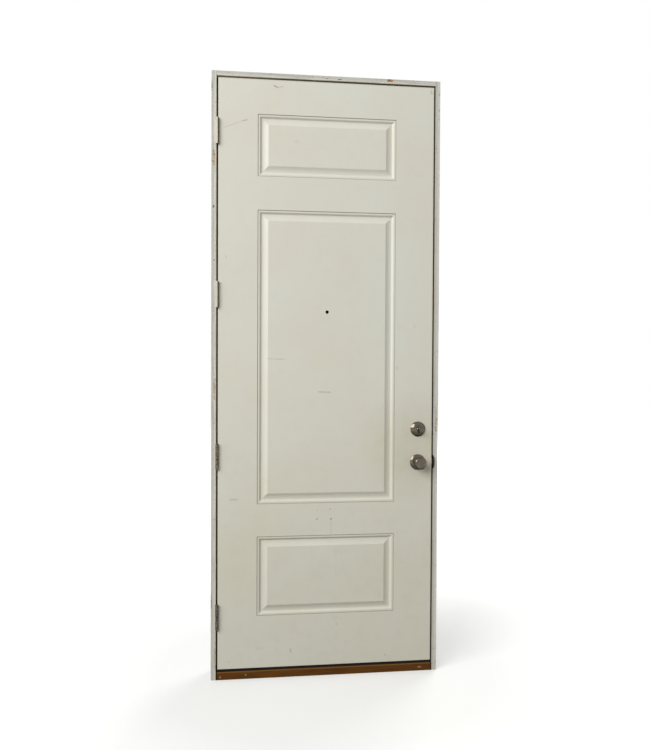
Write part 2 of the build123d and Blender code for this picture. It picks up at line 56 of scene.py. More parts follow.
# Sizes of the leaf, the frame and the hardware, in millimetres
LEAF_HALF = 449.5
LEAF_BOTTOM = 45.0
LEAF_TOP = 2464.0
ROOM_FACE = -58.0
OUTDOOR_FACE = -13.5
LEAF_MIDDLE = -35.75
JAMB_INSIDE = 456.0
LOCK_X = 389.2
KNOB_Z = 890.5
DEADBOLT_Z = 1030.2
HINGE_BOTTOMS = (210.2, 872.533, 1534.867, 2197.2)
HINGE_HEIGHT = 101.6

# Refractive index of an alkyd paint film
PAINT_IOR = 1.48

# The mixing node's sockets by number, because several share a name
VALUE_UNDER = 2
VALUE_OVER = 3
COLOUR_UNDER = 6
COLOUR_OVER = 7

Key = Union[str, int]
Point = tuple[float, float, float]
Flat = tuple[float, float]
Mesh = bmesh.types.BMesh
Vert = bmesh.types.BMVert
Tree = bpy.types.NodeTree
Node = bpy.types.Node
Socket = bpy.types.NodeSocket
Source = Union[Node, Socket]
Ink = Union[str, Source]


class Side(Enum):
    """Which face of the leaf a skin closes, as the sign of its outward Y."""

    ROOM = -1
    OUTDOOR = 1


class Run(Enum):
    """Which way a board runs, as the factors on X, Y and Z that draw its brush marks along it."""

    UPRIGHT = (1.0, 1.0, 0.03)
    ACROSS = (0.03, 1.0, 1.0)


class Meet(Enum):
    """Where joined masks hold: where all of them lie, or where any of them does."""

    ALL = "MULTIPLY"
    ANY = "MAXIMUM"


def linear(code: str) -> tuple[float, float, float, float]:
    """Turns an sRGB hex colour into linear red, green, blue and alpha.

    Args:
        code: Six hex digits, with or without a leading hash.

    Returns:
        The linear colour, with an alpha of 1.
    """
    digits = code.lstrip("#")
    parts = [int(digits[start:start + 2], 16) / 255 for start in (0, 2, 4)]
    red, green, blue = [p / 12.92 if p <= 0.04045 else ((p + 0.055) / 1.055) ** 2.4 for p in parts]
    return red, green, blue, 1.0


def cells(size: float, detail: float, roughness: float = 0.5) -> dict[Key, float]:
    """Gives the settings of a noise whose features are about this many millimetres across."""
    return {"Scale": 1.0 / (size * MM), "Detail": detail, "Roughness": roughness}


def metres(*lengths: float) -> Vector:
    """Turns three lengths in millimetres into a point in metres."""
    return Vector(lengths) * MM


def span(start: float, end: float, low: float = 0.0, high: float = 1.0) -> dict[Key, float]:
    """Gives the settings that carry values from start to end over to values from low to high."""
    return {"From Min": start, "From Max": end, "To Min": low, "To Max": high}


def wire(node: Node, settings: Mapping[Key, object], links: Mapping[Key, Source]) -> Node:
    """Gives a node its settings and links.

    Args:
        node: A node of a material or of the world.
        settings: Properties of the node, or values of its input sockets by name or number.
        links: What feeds its input sockets, by name or number; of a node, its first output in use.

    Returns:
        The same node.
    """
    for name, value in settings.items():
        if isinstance(name, str) and hasattr(node, name):
            setattr(node, name, value)
        else:
            node.inputs[name].default_value = value
    for name, source in links.items():
        if not isinstance(source, Socket):
            source = next(socket for socket in source.outputs if socket.enabled)
        node.id_data.links.new(source, node.inputs[name])
    return node


def add_node(
    tree: Tree,
    kind: str,
    settings: Optional[Mapping[Key, object]] = None,
    links: Optional[Mapping[Key, Source]] = None,
) -> Node:
    """Adds a node with its settings and links.

    Args:
        tree: The node tree of a material or of the world.
        kind: Blender's name for the type of node, without the ShaderNode that it starts with.
        settings: Properties of the node, or values of its input sockets by name or number.
        links: What feeds its input sockets, by name or number.

    Returns:
        The new node.
    """
    return wire(tree.nodes.new(f"ShaderNode{kind}"), settings or {}, links or {})


def join_masks(tree: Tree, meet: Meet, *masks: Source) -> Source:
    """Joins masks into one.

    Args:
        tree: The node tree that they are in.
        meet: Where the joined mask holds.
        masks: The masks, at least one.

    Returns:
        The joined mask.
    """
    way = {"operation": meet.value}
    return reduce(lambda held, mask: add_node(tree, "Math", way, {0: held, 1: mask}), masks)


def coats(tree: Tree, base: Ink, layers: Iterable[tuple[Ink, Source]]) -> Ink:
    """Lays colours one over another.

    Args:
        tree: The material's node tree.
        base: The colour underneath, as a hex value or as what gives it.
        layers: The colour of each coat, from the lowest up, and the mask of where it lies.

    Returns:
        What gives the colour on top.
    """
    for colour, mask in layers:
        inks = {COLOUR_UNDER: base, COLOUR_OVER: colour}
        even = {slot: linear(ink) for slot, ink in inks.items() if isinstance(ink, str)}
        drawn = {slot: ink for slot, ink in inks.items() if slot not in even}
        base = add_node(tree, "Mix", {"data_type": "RGBA", **even}, {0: mask, **drawn})
    return base


@dataclass(frozen=True)
class Stroke:
    """A scuff, scratch or spot on the room face of the leaf.

    Attributes:
        start: Where it begins, X and Z in millimetres.
        end: Where it ends; the same as start for a spot.
        half_width: Half of its width in millimetres.
        strength: How much of its colour shows, from 0 to 1.
    """

    start: Flat
    end: Flat
    half_width: float
    strength: float = 1.0


@dataclass(frozen=True)
class Chip:
    """A place where paint has come off the frame.

    Attributes:
        centre: Its middle, in millimetres.
        radii: Its half lengths along X, Y and Z, in millimetres.
    """

    centre: Point
    radii: Point


def stroke_mask(tree: Tree, place: Socket, strokes: Sequence[Stroke], wander: float) -> Source:
    """Makes a mask of strokes drawn on the upright face of the leaf.

    Args:
        tree: The material's node tree.
        place: Object coordinates.
        strokes: What is drawn.
        wander: How far the edges stray from a straight line, in millimetres.

    Returns:
        A value that is each stroke's strength on it and 0 away from it.
    """
    stray_size = 14.0
    # A stroke is at its full strength out to this share of its half width
    core = 0.3
    stray = add_node(tree, "TexNoise", cells(stray_size, 3.0), {"Vector": place})
    middle = {"operation": "SUBTRACT", 1: (0.5, 0.5, 0.5)}
    even = add_node(tree, "VectorMath", middle, {0: stray.outputs["Color"]})
    # The noise goes about a quarter either way from its middle
    shift = add_node(tree, "VectorMath", {"operation": "SCALE", "Scale": 4 * wander * MM}, {0: even})
    moved = add_node(tree, "VectorMath", {"operation": "ADD"}, {0: place, 1: shift})
    flat = add_node(tree, "VectorMath", {"operation": "MULTIPLY", 1: (1, 0, 1)}, {0: moved})
    masks = []
    for stroke in strokes:
        start = metres(stroke.start[0], 0, stroke.start[1])
        run = metres(stroke.end[0], 0, stroke.end[1]) - start
        share = run / max(run.length_squared, 1e-12)
        away = add_node(tree, "VectorMath", {"operation": "SUBTRACT", 1: start}, {0: flat})
        along = add_node(tree, "VectorMath", {"operation": "DOT_PRODUCT", 1: share}, {0: away})
        held = add_node(tree, "Math", {"operation": "ADD", "use_clamp": True, 1: 0.0}, {0: along})
        nearest = add_node(tree, "VectorMath", {"operation": "SCALE", 0: run}, {"Scale": held})
        gap = add_node(tree, "VectorMath", {"operation": "DISTANCE"}, {0: away, 1: nearest})
        width = stroke.half_width * MM
        edge_span = span(width, core * width, high=stroke.strength)
        masks.append(add_node(tree, "MapRange", edge_span, {"Value": gap}))
    return join_masks(tree, Meet.ANY, *masks)


def chip_mask(tree: Tree, place: Socket, chips: Sequence[Chip]) -> Source:
    """Makes a mask of ragged places where paint is gone.

    Args:
        tree: The material's node tree.
        place: Object coordinates.
        chips: Where the paint is gone.

    Returns:
        A value of 1 where it is gone and 0 elsewhere.
    """
    splinter_size = 7.0
    ragged = add_node(tree, "TexNoise", cells(splinter_size, 5.0, 0.7), {"Vector": place})
    # A chip's edge is where the reach from its middle and three times the noise add up to these
    ragged_share = 3.0
    edge_span = span(2.44, 2.26)
    masks = []
    for chip in chips:
        away = add_node(tree, "VectorMath", {"operation": "SUBTRACT", 1: metres(*chip.centre)}, {0: place})
        even = add_node(tree, "VectorMath", {"operation": "DIVIDE", 1: metres(*chip.radii)}, {0: away})
        reach = add_node(tree, "VectorMath", {"operation": "LENGTH"}, {0: even})
        edge = add_node(tree, "Math", {"operation": "MULTIPLY_ADD", 1: ragged_share}, {0: ragged, 2: reach})
        masks.append(add_node(tree, "MapRange", edge_span, {"Value": edge}))
    return join_masks(tree, Meet.ANY, *masks)


@dataclass(frozen=True)
class Finish:
    """A material of the door.

    Attributes:
        name: The real material and how its surface was made.
    """

    name: str

    def material(self) -> bpy.types.Material:
        """Builds the material, or finds it again.

        Returns:
            The material, with its node tree done.
        """
        found = bpy.data.materials.get(self.name)
        if found:
            return found
        material = bpy.data.materials.new(self.name)
        material.use_nodes = True
        tree = material.node_tree
        self.lay(tree, tree.nodes["Principled BSDF"])
        return material

    def lay(self, tree: Tree, shader: Node) -> None:
        """Lays the finish into a node tree.

        Args:
            tree: The material's node tree.
            shader: Its Principled shader.
        """
        raise NotImplementedError


@dataclass(frozen=True)
class LeafPaint(Finish):
    """Alkyd house paint rolled on a pressed skin: an even warm grey-cream with a soft sheen.

    Grime lies where hands go. Painted shade darkens the paint towards the foot and in the quirk of the
    mouldings, where some dirt lies too, and the room face has scuffs and old screw holes painted dark as
    shade.

    Attributes:
        cool: The paint where it is coolest.
        warm: The paint where it has yellowed.
        grime: The grime that hands leave, also the colour of the painted shade towards the foot.
        quirk_shade_and_dirt: Painted shade in the quirk, with the dirt that settles there.
        arris: Paint rubbed through along the lock side and the head.
        scuff: What a scuff leaves.
        hole_shade: Painted shade inside an old screw hole.
        arris_width: How wide the rubbed arris is.
        marked_to: Y that ends the room face, behind which nothing has marked the leaf.
        roughness: The paint's roughness in the middle of its range.
        blotch_size: Size of the patches that have yellowed.
        haze_size: Size of the clouds in the sheen.
        stipple_size: Size of the roller's stipple.
        stipple_relief: How deep the stipple is.
        low_shade_from: Height where the painted shade towards the foot begins.
        low_shade_to: Height where it is full.
        lock_place: Middle of the grime of hands, X and Z.
        lock_from: How far from there it begins.
        lock_to: How far from there it is full.
        scuffs: Scuffs, scratches and runs of dirt.
        holes: Old screw holes.
    """

    name: str = "Alkyd paint rolled on pressed skin"
    cool: str = "#D5D5C9"
    warm: str = "#D4D1C2"
    grime: str = "#94895C"
    quirk_shade_and_dirt: str = "#716D62"
    arris: str = "#A8916C"
    scuff: str = "#8D8A80"
    hole_shade: str = "#3A342D"
    arris_width: float = 4.5
    marked_to: float = -45.0
    roughness: float = 0.42
    blotch_size: float = 380.0
    haze_size: float = 45.0
    # Roller stipple is about 1.5 mm; it is drawn at 5 mm so that it shows from across a room
    stipple_size: float = 5.0
    stipple_relief: float = 0.6
    low_shade_from: float = 1250.0
    low_shade_to: float = 450.0
    lock_place: Flat = (LOCK_X, 960.0)
    lock_from: float = 260.0
    lock_to: float = 60.0
    scuffs: tuple[Stroke, ...] = (
        Stroke((-222, 2439.5), (-208.5, 2433), 4.8, 0.65),
        Stroke((-208.5, 2433), (-184, 2439), 3.0, 0.35),
        Stroke((-422, 2263.5), (-333.5, 2300.5), 2.4, 0.3),
        Stroke((-349, 2292), (-334, 2298), 4.4, 0.5),
        Stroke((-248.5, 1323.5), (-171, 1323.5), 2.2, 0.4),
        Stroke((-33, 1188), (14, 1186), 4.5, 0.4),
        Stroke((299, 1293), (300, 1281), 5.5, 0.2),
        Stroke((368, 1473), (374, 1458), 3.5, 0.16),
        Stroke((437.5, 2450), (439.5, 2439), 5.0, 0.45),
        Stroke((-132, 2217), (-126, 2215), 8.0, 0.14),
        Stroke((20.3, 648), (21.3, 593.4), 3.2, 0.22),
        Stroke((-148, 116), (-148, 104), 5.0, 0.4),
        Stroke((-286, 126), (-264, 124), 6.0, 0.12),
        Stroke((252, 76), (256, 73), 4.5, 0.4),
        Stroke((-402, 75), (-398, 73), 4.0, 0.2),
        Stroke((-397, 744.5), (-373, 745), 4.5, 0.4),
        Stroke((-417, 1742), (-417, 1736), 4.0, 0.25),
        Stroke((42, 540), (42.5, 415), 2.6, 0.12),
        Stroke((43.5, 245), (44, 217), 2.2, 0.14),
        Stroke((44, 217), (44, 211), 4.0, 0.3),
    )
    holes: tuple[Stroke, ...] = (
        Stroke((-38.8, 695), (-38.8, 695), 3.0, 0.4),
        Stroke((16.4, 698.3), (16.4, 698.3), 3.2, 0.85),
        Stroke((-40.5, 655.5), (-36, 660), 2.6, 0.6),
        Stroke((18.5, 656), (22.5, 657.5), 3.2, 0.75),
    )

    def grime_and_low_shade(self, tree: Tree, place: Socket, height: Socket, haze: Source) -> Source:
        """Makes the mask of the grime that hands leave and of the painted shade towards the foot.

        Args:
            tree: The material's node tree.
            place: Object coordinates.
            height: Their Z.
            haze: Noise that makes it patchy.

        Returns:
            How much of the grime and the painted shade shows.
        """
        # Painted shade: the leaf is darkened towards its foot, where less light falls
        foot_span = span(self.low_shade_from * MM, self.low_shade_to * MM, high=0.15)
        foot = add_node(tree, "MapRange", foot_span, {"Value": height})
        lock = metres(self.lock_place[0], 0, self.lock_place[1])
        flat = add_node(tree, "VectorMath", {"operation": "MULTIPLY", 1: (1, 0, 1)}, {0: place})
        from_lock = add_node(tree, "VectorMath", {"operation": "DISTANCE", 1: lock}, {0: flat})
        hand_span = span(self.lock_from * MM, self.lock_to * MM, high=0.16)
        hands = add_node(tree, "MapRange", hand_span, {"Value": from_lock})
        marks_and_painted_light = add_node(tree, "Math", {"operation": "ADD"}, {0: foot, 1: hands})
        uneven = add_node(tree, "MapRange", span(0.3, 0.7, 0.9, 1.1), {"Value": haze})
        patchy = join_masks(tree, Meet.ALL, marks_and_painted_light, uneven)
        cloud = add_node(tree, "MapRange", span(0.5, 0.8, high=0.05), {"Value": haze})
        return add_node(tree, "Math", {"operation": "ADD"}, {0: patchy, 1: cloud})

    def lay(self, tree: Tree, shader: Node) -> None:
        """Lays rolled paint with grime, scuffs and old screw holes.

        Args:
            tree: The material's node tree.
            shader: Its Principled shader.
        """
        place = add_node(tree, "TexCoord").outputs["Object"]
        x, y, z = add_node(tree, "SeparateXYZ", links={"Vector": place}).outputs
        blotch = add_node(tree, "TexNoise", cells(self.blotch_size, 3.0), {"Vector": place})
        spread = add_node(tree, "MapRange", span(0.35, 0.65), {"Value": blotch})
        haze = add_node(tree, "TexNoise", cells(self.haze_size, 6.0, 0.65), {"Vector": place})
        # Painted shade: the quirk of the mouldings is darkened, over the dirt that lies there
        groove = add_node(tree, "Attribute", {"attribute_name": "groove"}).outputs["Fac"]
        shaded_quirk = add_node(tree, "Math", {"operation": "MULTIPLY", 1: 0.75}, {0: groove})
        # Marks are on the room face alone, and the arris is rubbed at the lock side and the head
        facing = add_node(tree, "Math", {"operation": "LESS_THAN", 1: self.marked_to * MM}, {0: y})
        arrises = []
        for line, across in ((LEAF_HALF, x), (LEAF_TOP, z)):
            arris_span = span((line - self.arris_width) * MM, (line - 1) * MM, high=0.45)
            arrises.append(add_node(tree, "MapRange", arris_span, {"Value": across}))
        edge_tone = join_masks(tree, Meet.ANY, *arrises)
        scuffed = stroke_mask(tree, place, self.scuffs, wander=2.0)
        # Painted shade: the old screw holes are dented and their insides painted dark
        pierced = stroke_mask(tree, place, self.holes, wander=0.4)
        shaded_holes = join_masks(tree, Meet.ALL, pierced, facing)
        colour = coats(
            tree,
            self.cool,
            (
                (self.warm, spread),
                (self.grime, self.grime_and_low_shade(tree, place, z, haze)),
                (self.quirk_shade_and_dirt, shaded_quirk),
                (self.arris, join_masks(tree, Meet.ALL, edge_tone, facing)),
                (self.scuff, join_masks(tree, Meet.ALL, scuffed, facing)),
                (self.hole_shade, shaded_holes),
            ),
        )
        sheen_span = span(0, 1, self.roughness - 0.08, self.roughness + 0.16)
        sheen = add_node(tree, "MapRange", sheen_span, {"Value": haze})
        stipple = add_node(tree, "TexNoise", cells(self.stipple_size, 2.0), {"Vector": place})
        dent = add_node(tree, "Math", {"operation": "SUBTRACT"}, {0: stipple, 1: shaded_holes})
        relief = {"Strength": 0.25, "Distance": self.stipple_relief * MM}
        bump = add_node(tree, "Bump", relief, {"Height": dent})
        wire(shader, {"IOR": PAINT_IOR}, {"Base Color": colour, "Roughness": sheen, "Normal": bump})


@dataclass(frozen=True)
class FramePaint(Finish):
    """Alkyd paint brushed on pine boards: streaks along it, painted shade along one edge, chips down to tan
    wood.

    Attributes:
        run: Which way the board runs.
        inner: The paint near the opening.
        outer: The greyer colour of a band along one edge of the board, painted shade.
        arris: The colour along the arris at the gap: worn paint on the hinge jamb, painted shade on the head.
        arris_end: X up to which the arris is coloured.
        arris_from: How far from the gap that colour begins.
        arris_to: How far from the gap it is full.
        front_back: Y that ends the front face, where it is.
        streak: The lines between brush marks.
        grime: Specks of dirt.
        reveal_shade: Painted shade on the inside face, in the gap beside the leaf's edge.
        scrape: What something dark has scraped on.
        wood: Bare pine.
        wood_dark: Its darker fibres.
        reveal_line: How far out the inside face lies, along X or Z.
        reveal_back: Y that ends the shaded stretch of that face.
        inner_line: Where the outer colour begins.
        outer_line: Where it is full.
        waver: How far the brush carries those lines either way.
        streak_size: Spacing of the brush lines.
        speck_size: Size of the specks, and of the fibres in bare wood.
        brush_relief: How deep the brush lines are.
        chips: Where the paint is gone.
        scrapes: Where something has scraped it.
    """

    name: str = "Alkyd paint brushed on pine, upright"
    run: Run = Run.UPRIGHT
    inner: str = "#D0CEC1"
    outer: str = "#BDBCB1"
    arris: str = "#AD9679"
    arris_end: float = -LEAF_HALF
    arris_from: float = 2.2
    arris_to: float = 0.6
    front_back: float = ROOM_FACE + 2.0
    streak: str = "#8F8C80"
    grime: str = "#6E6656"
    reveal_shade: str = "#54483E"
    scrape: str = "#5C5E62"
    wood: str = "#C8BBA2"
    wood_dark: str = "#96846A"
    reveal_line: float = 456.8
    reveal_back: float = -9.0
    inner_line: float = 462.5
    outer_line: float = 469.5
    waver: float = 8.0
    # Brush lines are about 1 mm apart; they are drawn 5 mm apart so that they show from across a room
    streak_size: float = 5.0
    speck_size: float = 9.0
    brush_relief: float = 0.7
    chips: tuple[Chip, ...] = (
        Chip((-468, -58, 2139), (7, 10, 34)),
        Chip((-463, -58, 1204), (6, 10, 50)),
        Chip((-458, -58, 110), (4, 8, 70)),
        Chip((467.5, -58, 1057), (4.5, 9, 56)),
        Chip((472.5, -58, 2435), (3, 6, 5)),
        Chip((472.5, -58, 2370), (3, 6, 5)),
    )
    scrapes: tuple[Chip, ...] = (
        Chip((-475.5, -58, 2428), (3, 9, 26)),
        Chip((-476, -58, 330), (2.5, 9, 40)),
        Chip((-468, -58, 1943), (3.5, 6, 7)),
        Chip((-466, -58, 1725), (2.5, 6, 4)),
    )

    def lay(self, tree: Tree, shader: Node) -> None:
        """Lays brushed paint, its streaks, its edge wear and the bare wood in its chips.

        Args:
            tree: The material's node tree.
            shader: Its Principled shader.
        """
        place = add_node(tree, "TexCoord").outputs["Object"]
        x, y, z = add_node(tree, "SeparateXYZ", links={"Vector": place}).outputs
        drawn = add_node(tree, "VectorMath", {"operation": "MULTIPLY", 1: self.run.value}, {0: place})
        brush = add_node(tree, "TexNoise", cells(self.streak_size, 5.0, 0.65), {"Vector": drawn})
        speck = add_node(tree, "TexNoise", cells(self.speck_size, 4.0, 0.7), {"Vector": place})
        outward: Source = z
        if self.run is Run.UPRIGHT:
            outward = add_node(tree, "Math", {"operation": "ABSOLUTE"}, {0: x})
        swing = {"operation": "MULTIPLY_ADD", 1: 2 * self.waver * MM, 2: -self.waver * MM}
        wavy = add_node(tree, "Math", swing, {0: brush})
        across = add_node(tree, "Math", {"operation": "ADD"}, {0: outward, 1: wavy})
        # Painted shade: a greyer band along the outer edge stands in for the shaded side face of the board
        shade_span = span(self.inner_line * MM, self.outer_line * MM)
        shade = add_node(tree, "MapRange", shade_span, {"Value": across})
        if self.run is Run.UPRIGHT:
            # The lock jamb is the other way round: greyer along the gap and paler along its outer edge
            lock_side = add_node(tree, "Math", {"operation": "GREATER_THAN", 1: 0.0}, {0: x})
            turned = add_node(tree, "Math", {"operation": "SUBTRACT"}, {0: shade, 1: lock_side})
            shade = add_node(tree, "Math", {"operation": "ABSOLUTE"}, {0: turned})
        lines = add_node(tree, "MapRange", span(0.48, 0.72, high=0.55), {"Value": brush})
        specks = add_node(tree, "MapRange", span(0.57, 0.74, high=0.6), {"Value": speck})
        arris_start = (self.reveal_line + self.arris_from) * MM
        arris_span = span(arris_start, (self.reveal_line + self.arris_to) * MM, high=0.6)
        corner = add_node(tree, "MapRange", arris_span, {"Value": across})
        front = add_node(tree, "Math", {"operation": "LESS_THAN", 1: self.front_back * MM}, {0: y})
        hingeward = add_node(tree, "Math", {"operation": "LESS_THAN", 1: self.arris_end * MM}, {0: x})
        # Painted shade: the inside face in the gap beside the leaf is darkened
        within = add_node(tree, "Math", {"operation": "LESS_THAN", 1: self.reveal_line * MM}, {0: outward})
        ahead = add_node(tree, "Math", {"operation": "LESS_THAN", 1: self.reveal_back * MM}, {0: y})
        # The painted shade in the gap is darkest on the lock side
        lockward = add_node(tree, "MapRange", span(-LEAF_HALF * MM, 0.0, high=0.6), {"Value": x})
        bare = chip_mask(tree, place, self.chips)
        fibre = add_node(tree, "MapRange", span(0.38, 0.62), {"Value": speck})
        colour = coats(
            tree,
            self.inner,
            (
                (self.outer, shade),
                (self.streak, lines),
                (self.grime, specks),
                (self.arris, join_masks(tree, Meet.ALL, corner, front, hingeward)),
                (self.reveal_shade, join_masks(tree, Meet.ALL, within, ahead, lockward)),
                (self.scrape, chip_mask(tree, place, self.scrapes)),
                (coats(tree, self.wood, ((self.wood_dark, fibre),)), bare),
            ),
        )
        sheen = add_node(tree, "MapRange", span(0, 1, 0.42, 0.66), {"Value": brush})
        # Bare wood is duller than paint, and lies below it
        dull = add_node(tree, "Mix", {"data_type": "FLOAT", VALUE_OVER: 0.85}, {0: bare, VALUE_UNDER: sheen})
        height = add_node(tree, "Math", {"operation": "MULTIPLY_ADD", 1: -1.5}, {0: bare, 2: brush})
        relief = {"Strength": 0.35, "Distance": self.brush_relief * MM}
        bump = add_node(tree, "Bump", relief, {"Height": height})
        wire(shader, {"IOR": PAINT_IOR}, {"Base Color": colour, "Roughness": dull, "Normal": bump})


@dataclass(frozen=True)
class HingeMetal(Finish):
    """Steel butt hinges: dull brown-grey where bare, cream where they were painted over with the door.

    Attributes:
        metal: The plated steel.
        tarnish: Where the plate has gone.
        paint: The paint on the upper hinges.
        painted_from: Height above which the hinges were painted over.
        spot_size: Size of the spots of tarnish.
        pitting: How deep they are.
    """

    name: str = "Plated steel, tarnished"
    metal: str = "#776C60"
    tarnish: str = "#352D26"
    paint: str = "#C2BBAD"
    painted_from: float = 1500.0
    spot_size: float = 7.0
    pitting: float = 0.3

    def lay(self, tree: Tree, shader: Node) -> None:
        """Lays tarnished metal, painted over above a height, left bare on the right and underneath as painted
        shade.

        Args:
            tree: The material's node tree.
            shader: Its Principled shader.
        """
        coords = add_node(tree, "TexCoord")
        place = coords.outputs["Object"]
        height = add_node(tree, "SeparateXYZ", links={"Vector": place}).outputs["Z"]
        facing = add_node(tree, "SeparateXYZ", links={"Vector": coords.outputs["Normal"]}).outputs
        # Painted shade: the sides facing +X and the undersides show bare, darker metal instead of paint
        lee_shade = add_node(tree, "MapRange", span(0.05, 0.3), {"Value": facing["X"]})
        under = add_node(tree, "MapRange", span(-0.25, -0.5), {"Value": facing["Z"]})
        shaded_sides = join_masks(tree, Meet.ANY, lee_shade, under)
        lit_sides = add_node(tree, "Math", {"operation": "SUBTRACT", 0: 1.0}, {1: shaded_sides})
        spots = add_node(tree, "TexNoise", cells(self.spot_size, 5.0, 0.65), {"Vector": place})
        patch = add_node(tree, "MapRange", span(0.42, 0.54), {"Value": spots})
        kept = add_node(tree, "MapRange", span(0.68, 0.60), {"Value": spots})
        upper = add_node(tree, "Math", {"operation": "GREATER_THAN", 1: self.painted_from * MM}, {0: height})
        coated = join_masks(tree, Meet.ALL, kept, lit_sides, upper)
        bare = add_node(tree, "Math", {"operation": "SUBTRACT", 0: 1.0}, {1: coated})
        colour = coats(tree, self.metal, ((self.tarnish, patch), (self.paint, coated)))
        gloss = add_node(tree, "MapRange", span(0, 1, 0.34, 0.58), {"Value": spots})
        bump = add_node(tree, "Bump", {"Strength": 0.3, "Distance": self.pitting * MM}, {"Height": spots})
        wire(shader, {}, {"Base Color": colour, "Metallic": bare, "Roughness": gloss, "Normal": bump})


@dataclass(frozen=True)
class SatinNickel(Finish):
    """Brass plated in satin nickel, aged: a soft mirror with a brown cast, darker on its underside as painted
    shade.

    Attributes:
        metal: The plate.
        tarnish: The brown of its clouds, also laid on its underside as painted shade.
        smear_size: Width of the satin lines.
        smear_relief: How deep they are.
        cloud_size: Size of the clouds in its gloss.
    """

    name: str = "Satin nickel plate, aged"
    metal: str = "#665F55"
    tarnish: str = "#2E271D"
    # The satin lines are under 0.1 mm; they are drawn as 1.2 mm smears so that they show
    smear_size: float = 1.2
    smear_relief: float = 0.1
    cloud_size: float = 18.0

    def lay(self, tree: Tree, shader: Node) -> None:
        """Lays the plate with painted shade on its underside, tarnish clouds and a clouded gloss.

        Args:
            tree: The material's node tree.
            shader: Its Principled shader.
        """
        coords = add_node(tree, "TexCoord")
        place = coords.outputs["Object"]
        facing = add_node(tree, "SeparateXYZ", links={"Vector": coords.outputs["Normal"]}).outputs
        cloud = add_node(tree, "TexNoise", cells(self.cloud_size, 4.0), {"Vector": place})
        # Painted shade: surfaces that face down take the tarnish colour
        under = add_node(tree, "MapRange", span(0.25, -0.85, high=0.9), {"Value": facing["Z"]})
        soft = add_node(tree, "MapRange", span(0.3, 0.7, high=0.35), {"Value": cloud})
        dark = add_node(tree, "Math", {"operation": "ADD", "use_clamp": True}, {0: under, 1: soft})
        colour = coats(tree, self.metal, ((self.tarnish, dark),))
        gloss = add_node(tree, "MapRange", span(0, 1, 0.13, 0.24), {"Value": cloud})
        smear = add_node(tree, "TexNoise", cells(self.smear_size, 2.0), {"Vector": place})
        relief = {"Strength": 0.06, "Distance": self.smear_relief * MM}
        bump = add_node(tree, "Bump", relief, {"Height": smear})
        wire(shader, {"Metallic": 1.0}, {"Base Color": colour, "Roughness": gloss, "Normal": bump})


@dataclass(frozen=True)
class GrainedFinish(Finish):
    """A finish of two colours mixed along drawn lines or in cells, for the plainer pieces of the door.

    Attributes:
        light: The paler colour.
        dark: The darker colour.
        stretch: How far the pattern is squeezed along X, Y and Z; a small value draws lines along that axis.
        size: The pattern's feature size across the lines, in millimetres.
        metallic: 1 for bare metal, otherwise 0.
        rough: The least and the most roughness.
        relief: How deep the pattern's bump is, in millimetres.
        ior: The index of refraction; a metal keeps the default.
    """

    light: str = "#808080"
    dark: str = "#606060"
    stretch: Point = (1.0, 1.0, 1.0)
    size: float = 10.0
    metallic: float = 0.0
    rough: Flat = (0.4, 0.6)
    relief: float = 0.3
    ior: float = 1.5

    def lay(self, tree: Tree, shader: Node) -> None:
        """Lays the two colours, the roughness and the bump from one drawn pattern.

        Args:
            tree: The material's node tree.
            shader: Its Principled shader.
        """
        place = add_node(tree, "TexCoord").outputs["Object"]
        drawn = add_node(tree, "VectorMath", {"operation": "MULTIPLY", 1: self.stretch}, {0: place})
        grain = add_node(tree, "TexNoise", cells(self.size, 5.0, 0.6), {"Vector": drawn})
        spread = add_node(tree, "MapRange", span(0.32, 0.68), {"Value": grain})
        colour = coats(tree, self.light, ((self.dark, spread),))
        gloss = add_node(tree, "MapRange", span(0, 1, *self.rough), {"Value": spread})
        bump = add_node(tree, "Bump", {"Strength": 0.4, "Distance": self.relief * MM}, {"Height": grain})
        body = {"Metallic": self.metallic} if self.metallic else {"IOR": self.ior}
        wire(shader, body, {"Base Color": colour, "Roughness": gloss, "Normal": bump})


@dataclass(frozen=True)
class SillStain(GrainedFinish):
    """Stained sill: streaks along it, a painted highlight along its top edge, nicks, and dark joints at the
    jambs.

    Attributes:
        edge_tone: The colour of the painted highlight along the top edge.
        nick: The colour inside a nick.
        joint: The colour of the dirt at its ends.
        highlight_from: Height where the painted highlight begins, in millimetres.
        highlight_to: Height where it is full.
        joint_from: How far from the jamb the dirt begins.
        joint_to: How far from it the dirt is full.
        nicks: Where the stain is knocked off.
    """

    edge_tone: str = "#76532C"
    nick: str = "#9A7850"
    joint: str = "#120D08"
    highlight_from: float = 26.0
    highlight_to: float = 31.0
    joint_from: float = 6.0
    joint_to: float = 3.0
    nicks: tuple[Chip, ...] = (
        Chip((-334, -58, 17), (6, 6, 3.5)),
        Chip((404, -58, 16), (8, 6, 3.5)),
        Chip((-438, -58, 12), (3, 6, 5)),
    )

    def lay(self, tree: Tree, shader: Node) -> None:
        """Lays the streaked stain, then its painted highlight, nicks and dark joints.

        Args:
            tree: The material's node tree.
            shader: Its Principled shader.
        """
        super().lay(tree, shader)
        stained = shader.inputs["Base Color"].links[0].from_socket
        place = add_node(tree, "TexCoord").outputs["Object"]
        apart = add_node(tree, "SeparateXYZ", links={"Vector": place}).outputs
        # Painted highlight: the rounded top edge is paler, as if it caught the light
        edge_span = span(self.highlight_from * MM, self.highlight_to * MM, high=0.75)
        edge = add_node(tree, "MapRange", edge_span, {"Value": apart["Z"]})
        sideways = add_node(tree, "Math", {"operation": "ABSOLUTE"}, {0: apart["X"]})
        end_span = span((JAMB_INSIDE - self.joint_from) * MM, (JAMB_INSIDE - self.joint_to) * MM)
        ends = add_node(tree, "MapRange", end_span, {"Value": sideways})
        nicked = chip_mask(tree, place, self.nicks)
        marks_and_painted_light = coats(tree, stained, ((self.edge_tone, edge), (self.nick, nicked), (self.joint, ends)))
        wire(shader, {}, {"Base Color": marks_and_painted_light})


